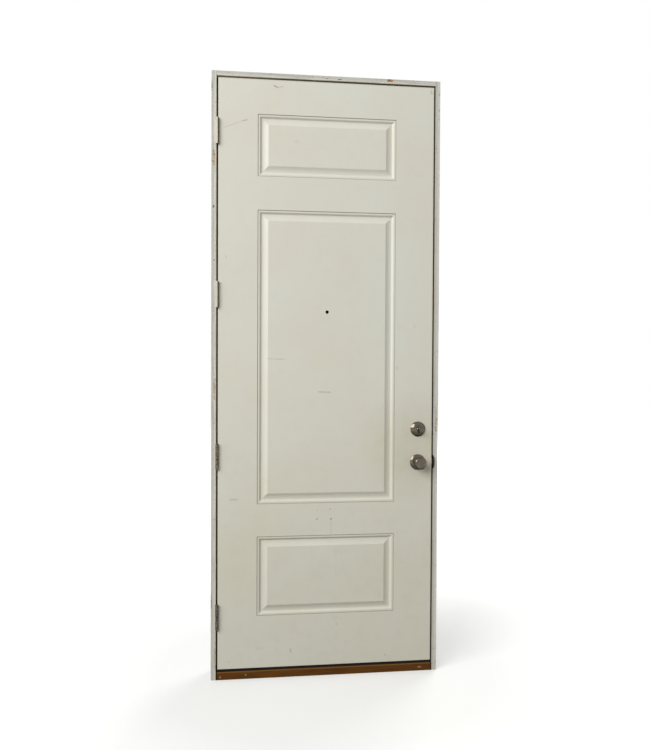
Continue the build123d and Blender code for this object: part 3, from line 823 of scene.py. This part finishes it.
# Brown composite sill: extruded, so its streaks run along the sill, and its rounded top edge has a painted
# highlight
SILL_COMPOSITE = SillStain(
    "Wood composite, extruded and stained",
    "#633E17", "#4F300D", (0.06, 1, 1), 5.0, rough=(0.65, 0.85), relief=0.4, ior=1.2,
)
# Mill-finish aluminium: extruded, with faint die lines along it
MILL_ALUMINIUM = GrainedFinish(
    "Aluminium, mill finish",
    "#BDBDB8", "#9C9C96", (0.04, 1, 1), 4.0, metallic=1.0, rough=(0.32, 0.5), relief=0.1,
)
# Foam seal in a vinyl sleeve: dull and slightly puckered
SEAL_SLEEVE = GrainedFinish(
    "Vinyl sleeve over foam",
    "#4A3D34", "#352B24", (1, 1, 0.3), 7.0, rough=(0.55, 0.7), relief=0.3,
)
# The hinge side's seal is tan: painted light, paler so that the shaded gap on that side reads lighter
SEAL_PAINTED_LIGHT = GrainedFinish(
    "Vinyl sleeve over foam, paled as painted light",
    "#B3A591", "#8F7F6C", (1, 1, 0.3), 7.0, rough=(0.55, 0.7), relief=0.3,
)
# Flexible vinyl sweep: black with a waxy bloom
SWEEP_VINYL = GrainedFinish(
    "Flexible vinyl, extruded",
    "#1A130C", "#0F0A06", (0.05, 1, 1), 4.0, rough=(0.6, 0.8), relief=0.2, ior=1.25,
)
# Black enamel on pressed steel: nearly no colour, with a soft shine along its edge
BLACK_ENAMEL = GrainedFinish(
    "Black enamel on pressed steel",
    "#14120F", "#0B0A09", (1, 1, 1), 8.0, rough=(0.35, 0.55), relief=0.1,
)
# Blackened brass: the viewer's body, dark inside and out
BLACKENED_BRASS = GrainedFinish(
    "Brass, blackened",
    "#241F19", "#120F0B", (1, 1, 1), 5.0, metallic=1.0, rough=(0.35, 0.55), relief=0.1,
)
# Optical glass coated against most of its glare, over a dark tube; its near-black colour is painted shade
LENS_PAINTED_SHADE = GrainedFinish(
    "Optical glass, coated",
    "#070605", "#030303", (1, 1, 1), 6.0, rough=(0.05, 0.12), relief=0.0, ior=1.2,
)
# Poured polyurethane foam: a pale open-looking skin, seen only inside the bores
POURED_FOAM = GrainedFinish(
    "Polyurethane foam, poured",
    "#D8CFA8", "#C2B586", (1, 1, 1), 3.0, rough=(0.8, 0.95), relief=0.8,
)
# Pine edge members under the same paint, brushed along the edge
EDGE_PAINT_UPRIGHT = GrainedFinish(
    "Alkyd paint brushed on leaf edge, upright",
    "#C9C6B9", "#A9A598", Run.UPRIGHT.value, 5.0, rough=(0.42, 0.62), relief=0.4,
)
EDGE_PAINT_ACROSS = GrainedFinish(
    "Alkyd paint brushed on leaf edge, across",
    "#C9C6B9", "#A9A598", Run.ACROSS.value, 5.0, rough=(0.42, 0.62), relief=0.4,
)
# Screws, plated and gone dull
SCREW_PLATE = GrainedFinish(
    "Steel screw, plated and dulled",
    "#7C7263", "#51473B", (1, 1, 1), 3.0, metallic=1.0, rough=(0.3, 0.5), relief=0.1,
)
LEAF_PAINT = LeafPaint()
FRAME_PAINT_UPRIGHT = FramePaint()
FRAME_PAINT_ACROSS = FramePaint(
    name="Alkyd paint brushed on pine, across",
    run=Run.ACROSS,
    # The head's grey arris is painted shade on its rounded lower edge
    arris="#8E8D86",
    arris_end=LEAF_HALF,
    wood="#A57E56",
    wood_dark="#7A5430",
    reveal_line=2471.3,
    inner_line=2476.0,
    outer_line=2486.0,
    chips=(Chip((260, -58, 2484), (15, 10, 7)),),
    scrapes=(
        Chip((-5, -58, 2480), (9, 9, 2.2)),
        Chip((49, -58, 2479), (11, 9, 2.2)),
    ),
)
HINGE_METAL = HingeMetal()
NICKEL = SatinNickel()


def piece(name: str, mesh: Mesh, finish: Finish) -> bpy.types.Object:
    """Turns a finished bmesh into an object in the scene.

    Args:
        name: The piece's name.
        mesh: Its geometry, in metres in the CAD model's frame; it is freed here.
        finish: Its finish.

    Returns:
        The new object, at the origin.
    """
    data = bpy.data.meshes.new(name)
    mesh.to_mesh(data)
    mesh.free()
    data.materials.append(finish.material())
    thing = bpy.data.objects.new(name, data)
    bpy.context.scene.collection.objects.link(thing)
    return thing


def dress(nodes: Iterable[str], finish: Finish) -> None:
    """Gives CAD nodes a finish.

    Args:
        nodes: The nodes' names.
        finish: What they are made of.
    """
    material = finish.material()
    for name in nodes:
        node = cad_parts[name]
        if not node.material_slots:
            node.data.materials.append(material)
        for slot in node.material_slots:
            slot.material = material
        log.info("%s: %s", name, finish.name)


def circle(steps: int) -> list[Flat]:
    """Gives points evenly round a circle of radius 1."""
    turns = [2 * math.pi * step / steps for step in range(steps)]
    return [(math.cos(turn), math.sin(turn)) for turn in turns]


def around(verts: Sequence[Vert]) -> list[tuple[Vert, Vert]]:
    """Gives each pair of neighbours round a closed loop."""
    return list(zip(verts, [*verts[1:], verts[0]]))


def stitch(mesh: Mesh, lower: Sequence[Vert], upper: Sequence[Vert]) -> list[bmesh.types.BMFace]:
    """Joins two closed loops of one count with a band of quads.

    Args:
        mesh: The mesh that they are in.
        lower: The first loop.
        upper: The second loop.

    Returns:
        The quads in order.
    """
    sides = zip(around(lower), around(upper))
    return [mesh.faces.new((first, second, above, beside)) for (first, second), (beside, above) in sides]


@dataclass
class PressedSkin:
    """One pressed skin of the leaf, with three moulded panels.

    Attributes:
        side: Which face of the leaf it closes.
        sheet: Thickness of the skin.
        panel_half_width: Half of a panel's width.
        panels: Bottom and top height of each panel.
        moulding: The pressed profile, as distance in from the panel's outline and depth.
        quirk: Where along that distance the quirk is painted dark as shade, from and to.
        bores: Round holes as X, Z and radius.
        notch_reach: How far a hinge plate is let in at the edge.
        notches: Bottom and top height of each hinge plate.
        round_steps: Sides of a round hole.
    """

    side: Side
    sheet: float = 2.0
    panel_half_width: float = 289.0
    panels: tuple[Flat, ...] = ((260.0, 590.0), (724.0, 1934.0), (2070.0, 2323.0))
    moulding: tuple[Flat, ...] = (
        (0.0, 0.0), (0.5, 0.6), (1.2, 1.9), (2.0, 2.3), (3.2, 2.2), (8.0, 2.2), (9.2, 2.5),
        (10.6, 3.6), (12.8, 5.9), (14.8, 7.9), (16.2, 8.8), (17.6, 9.0), (20.0, 8.9), (24.0, 8.35),
        (28.0, 7.4), (32.0, 6.1), (36.0, 4.4), (39.0, 2.9), (41.5, 1.6), (43.0, 1.0), (44.2, 0.8),
    )
    quirk: Flat = (0.4, 2.5)
    bores: tuple[Point, ...] = ((LOCK_X, KNOB_Z, 27.0), (LOCK_X, DEADBOLT_Z, 27.0), (0.0, 1519.0, 7.15))
    notch_reach: float = 2.5
    notches: tuple[Flat, ...] = tuple((low, low + HINGE_HEIGHT) for low in HINGE_BOTTOMS)
    round_steps: int = 48

    def face(self, depth: float) -> float:
        """Gives the Y of a point this deep behind the skin's own face."""
        return ROOM_FACE + depth if self.side is Side.ROOM else OUTDOOR_FACE - depth

    def loop(self, mesh: Mesh, points: Sequence[Flat], depth: float, quirk_shade: float = 0.0) -> list[Vert]:
        """Adds a closed loop of vertices.

        Args:
            mesh: The skin's mesh.
            points: X and Z of each corner.
            depth: How deep behind the face it lies.
            quirk_shade: How much painted shade lies along it, from 0 to 1.

        Returns:
            The vertices in order.
        """
        groove = mesh.verts.layers.float["groove"]
        made = []
        for x, z in points:
            vert = mesh.verts.new(metres(x, self.face(depth), z))
            vert[groove] = quirk_shade
            made.append(vert)
        return made

    def outline(self) -> list[Flat]:
        """Gives the skin's edge, with a notch at each hinge plate on the room side.

        Returns:
            X and Z of each corner in order.
        """
        edge = [(LEAF_HALF, LEAF_BOTTOM), (LEAF_HALF, LEAF_TOP), (-LEAF_HALF, LEAF_TOP)]
        if self.side is Side.ROOM:
            inner = self.notch_reach - LEAF_HALF
            for low, high in reversed(self.notches):
                edge += [(-LEAF_HALF, high), (inner, high), (inner, low), (-LEAF_HALF, low)]
        return edge + [(-LEAF_HALF, LEAF_BOTTOM)]

    def ring(self, low: float, high: float, inset: float) -> list[Flat]:
        """Gives the corners of a panel's outline, set in by a distance."""
        side = self.panel_half_width - inset
        return [(-side, low + inset), (side, low + inset), (side, high - inset), (-side, high - inset)]

    def fill(self, mesh: Mesh, loops: Sequence[Sequence[Vert]]) -> None:
        """Closes a flat region that is bounded by loops.

        Args:
            mesh: The skin's mesh.
            loops: Its outer edge and the edges of its holes.
        """
        edges = []
        for verts in loops:
            edges += [mesh.edges.get(pair) or mesh.edges.new(pair) for pair in around(verts)]
        bmesh.ops.triangle_fill(mesh, use_beauty=True, use_dissolve=False, edges=edges)

    def build(self, name: str) -> bpy.types.Object:
        """Builds the skin as a sheet with its real thickness.

        Args:
            name: The piece's name.

        Returns:
            The skin's object.
        """
        mesh = bmesh.new()
        mesh.verts.layers.float.new("groove")
        holes = {}
        for x, z, radius in self.bores:
            holes[(x, z)] = [(x + radius * east, z + radius * up) for east, up in circle(self.round_steps)]
        flat_loops = [self.loop(mesh, self.outline(), 0.0)]
        sharp = []
        field_depth = self.moulding[-1][1]
        for low, high in self.panels:
            rings = []
            for inset, depth in self.moulding:
                # The quirk carries painted shade
                quirk_shade = 1.0 if self.quirk[0] <= inset <= self.quirk[1] else 0.0
                rings.append(self.loop(mesh, self.ring(low, high, inset), depth, quirk_shade))
            for outer, inner in zip(rings, rings[1:]):
                for quad in stitch(mesh, outer, inner):
                    quad.smooth = True
                sharp += zip(outer, inner)
            sharp += around(rings[0]) + around(rings[-1])
            flat_loops.append(rings[0])
            inside = [rings[-1]]
            for (x, z), points in holes.items():
                if abs(x) < self.panel_half_width and low < z < high:
                    inside.append(self.loop(mesh, points, field_depth))
            self.fill(mesh, inside)
        for (x, z), points in holes.items():
            if abs(x) > self.panel_half_width:
                flat_loops.append(self.loop(mesh, points, 0.0))
        self.fill(mesh, flat_loops)
        mesh.normal_update()
        for face in mesh.faces:
            if face.normal.y * self.side.value < 0:
                face.normal_flip()
        for pair in sharp:
            mesh.edges.get(pair).smooth = False
        skin = piece(name, mesh, LEAF_PAINT)
        sheet = skin.modifiers.new("sheet", "SOLIDIFY")
        sheet.thickness = self.sheet * MM
        sheet.offset = -1.0
        return skin


@dataclass
class Screws:
    """Countersunk screws with a crossed recess, joined into one piece for a body.

    Attributes:
        head_radius: Radius of a head.
        crown: How far the head stands proud in the middle.
        crown_share: Radius of its flat middle, as a share of the head's.
        sink: How far the head goes in below its rim.
        sink_share: Radius at that depth, as a share of the head's.
        recess_reach: Half length of the recess's arms.
        recess_width: Half width of its arms.
        recess_depth: How deep it goes.
        recess_share: Size of its floor, as a share of its mouth's.
        steps: Sides of the head's rim.
        spin: How far each screw is turned past the one before, in radians.
        finish: What the screws are made of.
        places: Middle, outward direction and size of each screw.
    """

    head_radius: float = 4.0
    crown: float = 0.35
    crown_share: float = 0.8
    sink: float = 1.6
    sink_share: float = 0.55
    recess_reach: float = 2.3
    recess_width: float = 0.55
    recess_depth: float = 1.2
    recess_share: float = 0.7
    steps: int = 24
    spin: float = 0.9
    finish: Finish = SCREW_PLATE
    places: list[tuple[Vector, Vector, float]] = field(default_factory=list)

    def put(self, at: Point, out: Point, size: float = 1.0) -> None:
        """Adds a screw to the set.

        Args:
            at: The middle of its head, on the face it is driven into, in millimetres.
            out: The way its head faces.
            size: Its size beside the plain one.
        """
        self.places.append((metres(*at), Vector(out).normalized(), size))

    def build(self, name: str) -> bpy.types.Object:
        """Builds all the screws of the set.

        Args:
            name: The piece's name.

        Returns:
            The joined screws.
        """
        mesh = bmesh.new()
        for number, (at, out, size) in enumerate(self.places):
            spin = Matrix.Rotation(self.spin * number, 4, "Z")
            turn = out.to_track_quat("Z", "Y").to_matrix().to_4x4()
            self.head(mesh, Matrix.Translation(at) @ turn @ spin, size * MM)
        mesh.normal_update()
        return piece(name, mesh, self.finish)

    def head(self, mesh: Mesh, where: Matrix, unit: float) -> None:
        """Adds one head.

        Args:
            mesh: The set's mesh.
            where: Its place, with its own Z outward.
            unit: Metres for each of the plain screw's millimetres.
        """
        def ring(points: Sequence[Flat], size: float, height: float) -> list[Vert]:
            """Adds a loop of vertices, drawn at a size and set at a height."""
            return [mesh.verts.new(where @ (Vector((size * x, size * y, height)) * unit)) for x, y in points]

        reach, width = self.recess_reach, self.recess_width
        cross = [
            (reach, -width), (reach, width), (width, width),
            (width, reach), (-width, reach), (-width, width),
            (-reach, width), (-reach, -width), (-width, -width),
            (-width, -reach), (width, -reach), (width, -width),
        ]
        edge = circle(self.steps)
        under = ring(edge, self.head_radius * self.sink_share, -self.sink)
        rim = ring(edge, self.head_radius, 0.0)
        crown = ring(edge, self.head_radius * self.crown_share, self.crown)
        lip = ring(cross, 1.0, self.crown)
        floor = ring(cross, self.recess_share, self.crown - self.recess_depth)
        for lower, upper in ((under, rim), (rim, crown), (lip, floor)):
            stitch(mesh, lower, upper)
        mesh.faces.new(floor)
        mesh.faces.new(tuple(reversed(under)))
        edges = [mesh.edges.get(pair) for pair in around(crown) + around(lip)]
        top = bmesh.ops.triangle_fill(mesh, use_beauty=True, use_dissolve=False, edges=edges)
        outward = where.to_3x3() @ Vector((0, 0, 1))
        for face in top["geom"]:
            if isinstance(face, bmesh.types.BMFace):
                face.normal_update()
                if face.normal.dot(outward) < 0:
                    face.normal_flip()


@dataclass
class Leaf:
    """The door leaf: two pressed skins over a foam core, with edge members, a sweep and a viewer.

    Attributes:
        skins: The room side's skin and the outdoor one.
    """

    skins: tuple[PressedSkin, PressedSkin] = field(
        default_factory=lambda: (PressedSkin(Side.ROOM), PressedSkin(Side.OUTDOOR))
    )

    def build(self) -> None:
        """Builds the pressed skins in place of the CAD ones and dresses what is between them."""
        for skin, node in zip(self.skins, ("interior_skin", "exterior_skin")):
            made = skin.build(f"pressed_{node}")
            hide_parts(node)
            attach(made, "leaf")
            log.info("%s: %s", made.name, LEAF_PAINT.name)
        dress(("hinge_stile", "lock_stile"), EDGE_PAINT_UPRIGHT)
        dress(("bottom_rail", "top_rail"), EDGE_PAINT_ACROSS)
        dress(("leaf_core",), POURED_FOAM)
        dress(("door_sweep",), SWEEP_VINYL)
        dress(("viewer_barrel",), BLACKENED_BRASS)
        dress(("viewer_lenses",), LENS_PAINTED_SHADE)


@dataclass
class DoorFrame:
    """Jambs, head, stops, seals and sill."""

    def build(self) -> None:
        """Dresses the boards, the seals and the sill."""
        dress(("hinge_jamb", "strike_jamb", "hinge_stop", "strike_stop"), FRAME_PAINT_UPRIGHT)
        dress(("head_jamb", "head_stop"), FRAME_PAINT_ACROSS)
        dress(("strike_side_seal", "head_seal"), SEAL_SLEEVE)
        # The hinge side's seal is paler, as painted light
        dress(("hinge_side_seal",), SEAL_PAINTED_LIGHT)
        dress(("sill_riser", "sill_wedge"), SILL_COMPOSITE)
        dress(("sill_deck",), MILL_ALUMINIUM)


@dataclass
class Hinges:
    """Four butt hinges, the upper two painted over.

    Attributes:
        rows: How far each screw is behind the room face.
        heights: Where the screws are up the plate, as shares of its height.
    """

    rows: tuple[float, ...] = (11.0, 24.0, 24.0, 11.0)
    heights: tuple[float, ...] = (0.13, 0.36, 0.64, 0.87)

    def build(self) -> None:
        """Dresses the plates and pins and drives the screws."""
        numbers = range(1, len(HINGE_BOTTOMS) + 1)
        dress([f"jamb_hinge_leaf_{number}" for number in numbers], HINGE_METAL)
        dress([f"door_hinge_leaf_{number}" for number in numbers], HINGE_METAL)
        dress(("hinge_pins",), HINGE_METAL)
        jamb_screws = Screws()
        leaf_screws = Screws()
        for bottom in HINGE_BOTTOMS:
            for row, share in zip(self.rows, self.heights):
                y, z = ROOM_FACE + row, bottom + share * HINGE_HEIGHT
                jamb_screws.put((-JAMB_INSIDE, y, z), (1, 0, 0))
                leaf_screws.put((-LEAF_HALF, y, z), (-1, 0, 0))
        for screws, name, body in (
            (jamb_screws, "jamb_hinge_screws", "frame"),
            (leaf_screws, "leaf_hinge_screws", "leaf"),
        ):
            made = screws.build(name)
            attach(made, body)
            log.info("%s: %s", name, screws.finish.name)


@dataclass
class ThumbTurn:
    """The deadbolt's thumb turn: a half-moon grip, thick in the middle, on a small domed collar.

    Attributes:
        axis: X and Z of its axis.
        shaft_radius: Radius of the shaft behind the collar.
        shaft_start: Y where the shaft begins, inside the leaf.
        collar_radius: Radius of the collar.
        collar_back: Y of the collar's back.
        dome: How far the collar's dome rises.
        dome_steps: Rings of the dome.
        foot: Y of the grip's straight edge, in the dome.
        reach: How far the grip stands out from its foot.
        half_height: Half of the grip's height.
        half_thickness: Half of its thickness in the middle.
        shares: Rings of the grip, as shares of the way from the middle of its foot to its rim.
        steps: Parts of the half circle.
        round_steps: Parts of the collar's circle.
    """

    axis: Flat = (LOCK_X, DEADBOLT_Z)
    shaft_radius: float = 6.0
    shaft_start: float = -46.0
    collar_radius: float = 8.5
    collar_back: float = -70.3
    dome: float = 5.0
    dome_steps: int = 10
    foot: float = -73.3
    reach: float = 19.0
    half_height: float = 18.0
    half_thickness: float = 3.5
    shares: tuple[float, ...] = (0.25, 0.45, 0.62, 0.76, 0.86, 0.93, 0.975)
    steps: int = 32
    round_steps: int = 48

    def turned(self, mesh: Mesh) -> None:
        """Adds the shaft and the domed collar.

        Args:
            mesh: The turn's mesh.
        """
        profile = [
            (self.shaft_radius, self.shaft_start),
            (self.shaft_radius, self.collar_back),
            (self.collar_radius, self.collar_back),
        ]
        for step in range(1, self.dome_steps):
            turn = 0.5 * math.pi * step / self.dome_steps
            radius = self.collar_radius * math.cos(turn)
            profile.append((radius, self.collar_back - self.dome * math.sin(turn)))
        x, z = self.axis
        rings = []
        for radius, y in profile:
            points = [(x + radius * east, y, z + radius * up) for east, up in circle(self.round_steps)]
            rings.append([mesh.verts.new(metres(*point)) for point in points])
        for level, (lower, upper) in enumerate(zip(rings, rings[1:])):
            for quad in stitch(mesh, lower, upper):
                # The shaft and the collar's back keep their edges
                quad.smooth = level > 1
        mesh.faces.new(tuple(reversed(rings[0])))
        mesh.faces.new(rings[-1])

    def grip(self, mesh: Mesh) -> None:
        """Adds the half-moon, as two bulged sides that meet at its rim.

        Args:
            mesh: The turn's mesh.
        """
        turns = [math.pi * (step / self.steps - 0.5) for step in range(self.steps + 1)]

        def arc(share: float, way: int) -> list[Vert]:
            """Adds one ring of a side.

            Args:
                share: How far out it is, from 0 at the middle of the foot to 1 at the rim.
                way: The side's sign along X.

            Returns:
                Its vertices, from the bottom up.
            """
            bulge = way * self.half_thickness * math.sqrt(1 - share ** 4)
            y = [self.foot - self.reach * share * math.cos(turn) for turn in turns]
            z = [self.axis[1] + self.half_height * share * math.sin(turn) for turn in turns]
            return [mesh.verts.new(metres(self.axis[0] + bulge, *at)) for at in zip(y, z)]

        rim = arc(1.0, 1)
        feet = []
        for way in (-1, 1):
            middle = mesh.verts.new(metres(self.axis[0] + way * self.half_thickness, self.foot, self.axis[1]))
            arcs = [arc(share, way) for share in self.shares] + [rim]
            for step in range(self.steps):
                faces = [(middle, arcs[0][step], arcs[0][step + 1])]
                faces += [(a[step], b[step], b[step + 1], a[step + 1]) for a, b in zip(arcs, arcs[1:])]
                for corners in faces:
                    made = mesh.faces.new(corners if way > 0 else tuple(reversed(corners)))
                    made.smooth = True
            inner = arcs[:-1]
            feet.append([a[0] for a in reversed(inner)] + [middle] + [a[-1] for a in inner])
        base = mesh.faces.new([rim[0]] + feet[1] + [rim[-1]] + list(reversed(feet[0])))
        for edge in base.edges:
            edge.smooth = False

    def build(self) -> None:
        """Builds the turn in place of the CAD one."""
        mesh = bmesh.new()
        self.turned(mesh)
        self.grip(mesh)
        bmesh.ops.recalc_face_normals(mesh, faces=mesh.faces)
        made = piece("half_moon_turn", mesh, NICKEL)
        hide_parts("thumb_turn")
        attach(made, "thumb_turn")
        log.info("%s: %s", made.name, NICKEL.name)


@dataclass
class LockSet:
    """Knobs, deadbolt, face plates and strikes.

    Attributes:
        plate_screw: How far a plate's screws are above and below its middle.
        plate_screw_size: Their size beside the plain screw.
        deadbolt_screw: How far a deadbolt rose's screws are beside its axis, and Y of their heads.
        deadbolt_screw_size: Their size beside the plain screw.
        knob_screw: The same places for the knob's rose.
        knob_screw_size: Their size beside the plain screw.
        dome_lean: How far a rose's surface leans outward at its screws.
    """

    plate_screw: float = 21.0
    plate_screw_size: float = 0.85
    deadbolt_screw: Flat = (13.0, ROOM_FACE - 11.4)
    deadbolt_screw_size: float = 0.7
    knob_screw: Flat = (20.4, ROOM_FACE - 8.2)
    knob_screw_size: float = 0.65
    dome_lean: float = 0.18

    def build(self) -> None:
        """Dresses the hardware and drives the screws of its plates and roses."""
        dress(
            (
                "interior_rose", "exterior_rose", "interior_knob", "exterior_knob", "knob_spindle",
                "latch_plate", "latch_bolt",
                "deadbolt_rose", "deadbolt_cylinder", "deadbolt_plate", "deadbolt_bolt",
            ),
            NICKEL,
        )
        dress(("latch_strike", "deadbolt_strike"), BLACK_ENAMEL)
        leaf_screws = Screws()
        jamb_screws = Screws()
        for z in (KNOB_Z, DEADBOLT_Z):
            for way in (-1, 1):
                height = z + way * self.plate_screw
                size = self.plate_screw_size
                leaf_screws.put((LEAF_HALF, LEAF_MIDDLE, height), (1, 0, 0), size)
                jamb_screws.put((JAMB_INSIDE, LEAF_MIDDLE, height), (-1, 0, 0), size)
        rose_screws = Screws()
        # The knob rose's screws are blackened so that they read as dark recesses: painted shade
        recess_shade_screws = Screws(finish=BLACKENED_BRASS)
        for way in (-1, 1):
            out = (way * self.dome_lean, -1, 0)
            beside, y = self.deadbolt_screw
            rose_screws.put((LOCK_X + way * beside, y, DEADBOLT_Z), out, self.deadbolt_screw_size)
            beside, y = self.knob_screw
            recess_shade_screws.put((LOCK_X + way * beside, y, KNOB_Z), out, self.knob_screw_size)
        for screws, name, body in (
            (leaf_screws, "face_plate_screws", "leaf"),
            (jamb_screws, "strike_screws", "frame"),
            (rose_screws, "deadbolt_rose_screws", "leaf"),
            (recess_shade_screws, "knob_rose_screws", "leaf"),
        ):
            made = screws.build(name)
            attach(made, body)
            log.info("%s: %s", name, screws.finish.name)
        ThumbTurn().build()


@dataclass(frozen=True)
class Lamp:
    """A soft rectangular lamp.

    Attributes:
        name: What it is for.
        place: Where it hangs, in millimetres.
        size: Its width and height, in millimetres.
        power: Its power in watts.
    """

    name: str
    place: Point
    size: Flat
    power: float

    def hang(self, target: Vector) -> None:
        """Hangs the lamp so that it faces a point.

        Args:
            target: The point, in metres.
        """
        data = bpy.data.lights.new(self.name, "AREA")
        data.shape = "RECTANGLE"
        data.size, data.size_y = (side * MM for side in self.size)
        data.energy = self.power
        lamp = bpy.data.objects.new(self.name, data)
        place = metres(*self.place)
        turn = (place - target).to_track_quat("Z", "Y").to_matrix().to_4x4()
        lamp.matrix_world = Matrix.Translation(place) @ turn
        lamp.visible_camera = False
        bpy.context.scene.collection.objects.link(lamp)


@dataclass
class Studio:
    """Floor, light and camera.

    Attributes:
        eye: Where the camera is, in millimetres.
        yaw: How far it turns to the right of +Y, in degrees.
        pitch: How far it looks up, in degrees.
        roll: How far it leans, in degrees.
        focal: Focal length in pixels of the photograph.
        sensor: Width of the sensor, in millimetres.
        lamps: One as big as a window at the front left, and a weaker one for the outdoor side.
        target: The point that both lamps face.
        ambient: Strength of the even white world.
        floor_half: Half of the floor's width.
        paper: The floor's colour where it is looked at.
        paper_shade: Its colour for the light that it throws back up.
        glow_from: How far from the door the floor begins to turn white.
        glow_to: How far away it is white.
        glow: How much of that white shows beside the door.
    """

    eye: Point = (-500.0, -3532.8, 1341.1)
    yaw: float = 8.062
    pitch: float = -1.359
    roll: float = 0.267
    focal: float = 844.9
    sensor: float = 36.0
    lamps: tuple[Lamp, ...] = (
        Lamp("key", (-6400.0, -6460.0, 5470.0), (7400.0, 5600.0), 950.0),
        Lamp("fill", (5200.0, 7000.0, 4600.0), (5000.0, 4000.0), 420.0),
    )
    target: Point = (0.0, -58.0, 1250.0)
    ambient: float = 0.46
    floor_half: float = 12000.0
    paper: str = "#CFCFCD"
    paper_shade: str = "#5E5C58"
    glow_from: float = 700.0
    glow_to: float = 3500.0
    glow: float = 0.3

    def camera(self) -> None:
        """Sets the camera where the photograph was taken from."""
        data = bpy.data.cameras.new("camera")
        data.sensor_fit = "HORIZONTAL"
        data.sensor_width = self.sensor
        data.lens = self.focal / PHOTO_WIDTH * self.sensor
        yaw, pitch, roll = (math.radians(angle) for angle in (self.yaw, self.pitch, self.roll))
        ahead = Vector((math.sin(yaw) * math.cos(pitch), math.cos(yaw) * math.cos(pitch), math.sin(pitch)))
        level = Vector((math.cos(yaw), -math.sin(yaw), 0))
        upright = level.cross(ahead)
        right = level * math.cos(roll) + upright * math.sin(roll)
        up = upright * math.cos(roll) - level * math.sin(roll)
        turn = Matrix((right, up, -ahead)).transposed().to_4x4()
        camera = bpy.data.objects.new("camera", data)
        camera.matrix_world = Matrix.Translation(metres(*self.eye)) @ turn
        bpy.context.scene.collection.objects.link(camera)
        bpy.context.scene.camera = camera

    def looked_at(self, tree: Tree) -> Source:
        """Makes a mask of the rays that see the room: from the camera, off metal and through glass.

        Args:
            tree: The node tree of the world or of the floor.

        Returns:
            A value of 1 for those rays and 0 for the rest.
        """
        path = add_node(tree, "LightPath").outputs
        rays = ("Is Camera Ray", "Is Glossy Ray", "Is Transmission Ray")
        return join_masks(tree, Meet.ANY, *(path[ray] for ray in rays))

    def lights(self) -> None:
        """Hangs the lamps in an even white world."""
        for lamp in self.lamps:
            lamp.hang(metres(*self.target))
        world = bpy.data.worlds.new("white room")
        world.use_nodes = True
        tree = world.node_tree
        white = {"data_type": "FLOAT", VALUE_UNDER: self.ambient, VALUE_OVER: 1.0}
        level = add_node(tree, "Mix", white, {0: self.looked_at(tree)})
        wire(tree.nodes["Background"], {"Color": (1, 1, 1, 1)}, {"Strength": level})
        bpy.context.scene.world = world

    def floor(self) -> None:
        """Lays a plain pale floor that keeps the door's shadow."""
        half = self.floor_half * MM
        mesh = bmesh.new()
        corners = [(-half, -half), (half, -half), (half, half), (-half, half)]
        mesh.faces.new([mesh.verts.new((x, y, 0.0)) for x, y in corners])
        data = bpy.data.meshes.new("floor")
        mesh.to_mesh(data)
        mesh.free()
        material = bpy.data.materials.new("Matt white paper sweep")
        material.use_nodes = True
        tree = material.node_tree
        seen = self.looked_at(tree)
        # The floor looks pale but throws little light back up
        paper = coats(tree, self.paper_shade, ((self.paper, seen),))
        place = add_node(tree, "TexCoord").outputs["Object"]
        far = add_node(tree, "VectorMath", {"operation": "LENGTH"}, {0: place})
        fade_span = span(self.glow_from * MM, self.glow_to * MM, self.glow)
        fade = add_node(tree, "MapRange", fade_span, {"Value": far})
        wire(
            tree.nodes["Principled BSDF"],
            {"Roughness": 0.9, "Emission Color": (1, 1, 1, 1)},
            {"Base Color": paper, "Emission Strength": join_masks(tree, Meet.ALL, seen, fade)},
        )
        data.materials.append(material)
        ground = bpy.data.objects.new("floor", data)
        bpy.context.scene.collection.objects.link(ground)

    def build(self) -> None:
        """Sets camera, lights and floor."""
        self.camera()
        self.lights()
        self.floor()
        bpy.context.scene.view_settings.view_transform = "Standard"


def main() -> None:
    """Builds the door's sub-assemblies and the studio."""
    logging.basicConfig(level=logging.INFO, format="%(name)s %(message)s")
    for part in (Leaf(), DoorFrame(), Hinges(), LockSet(), Studio()):
        log.info("building %s", type(part).__name__)
        part.build()


if __name__ == "__main__":
    main()
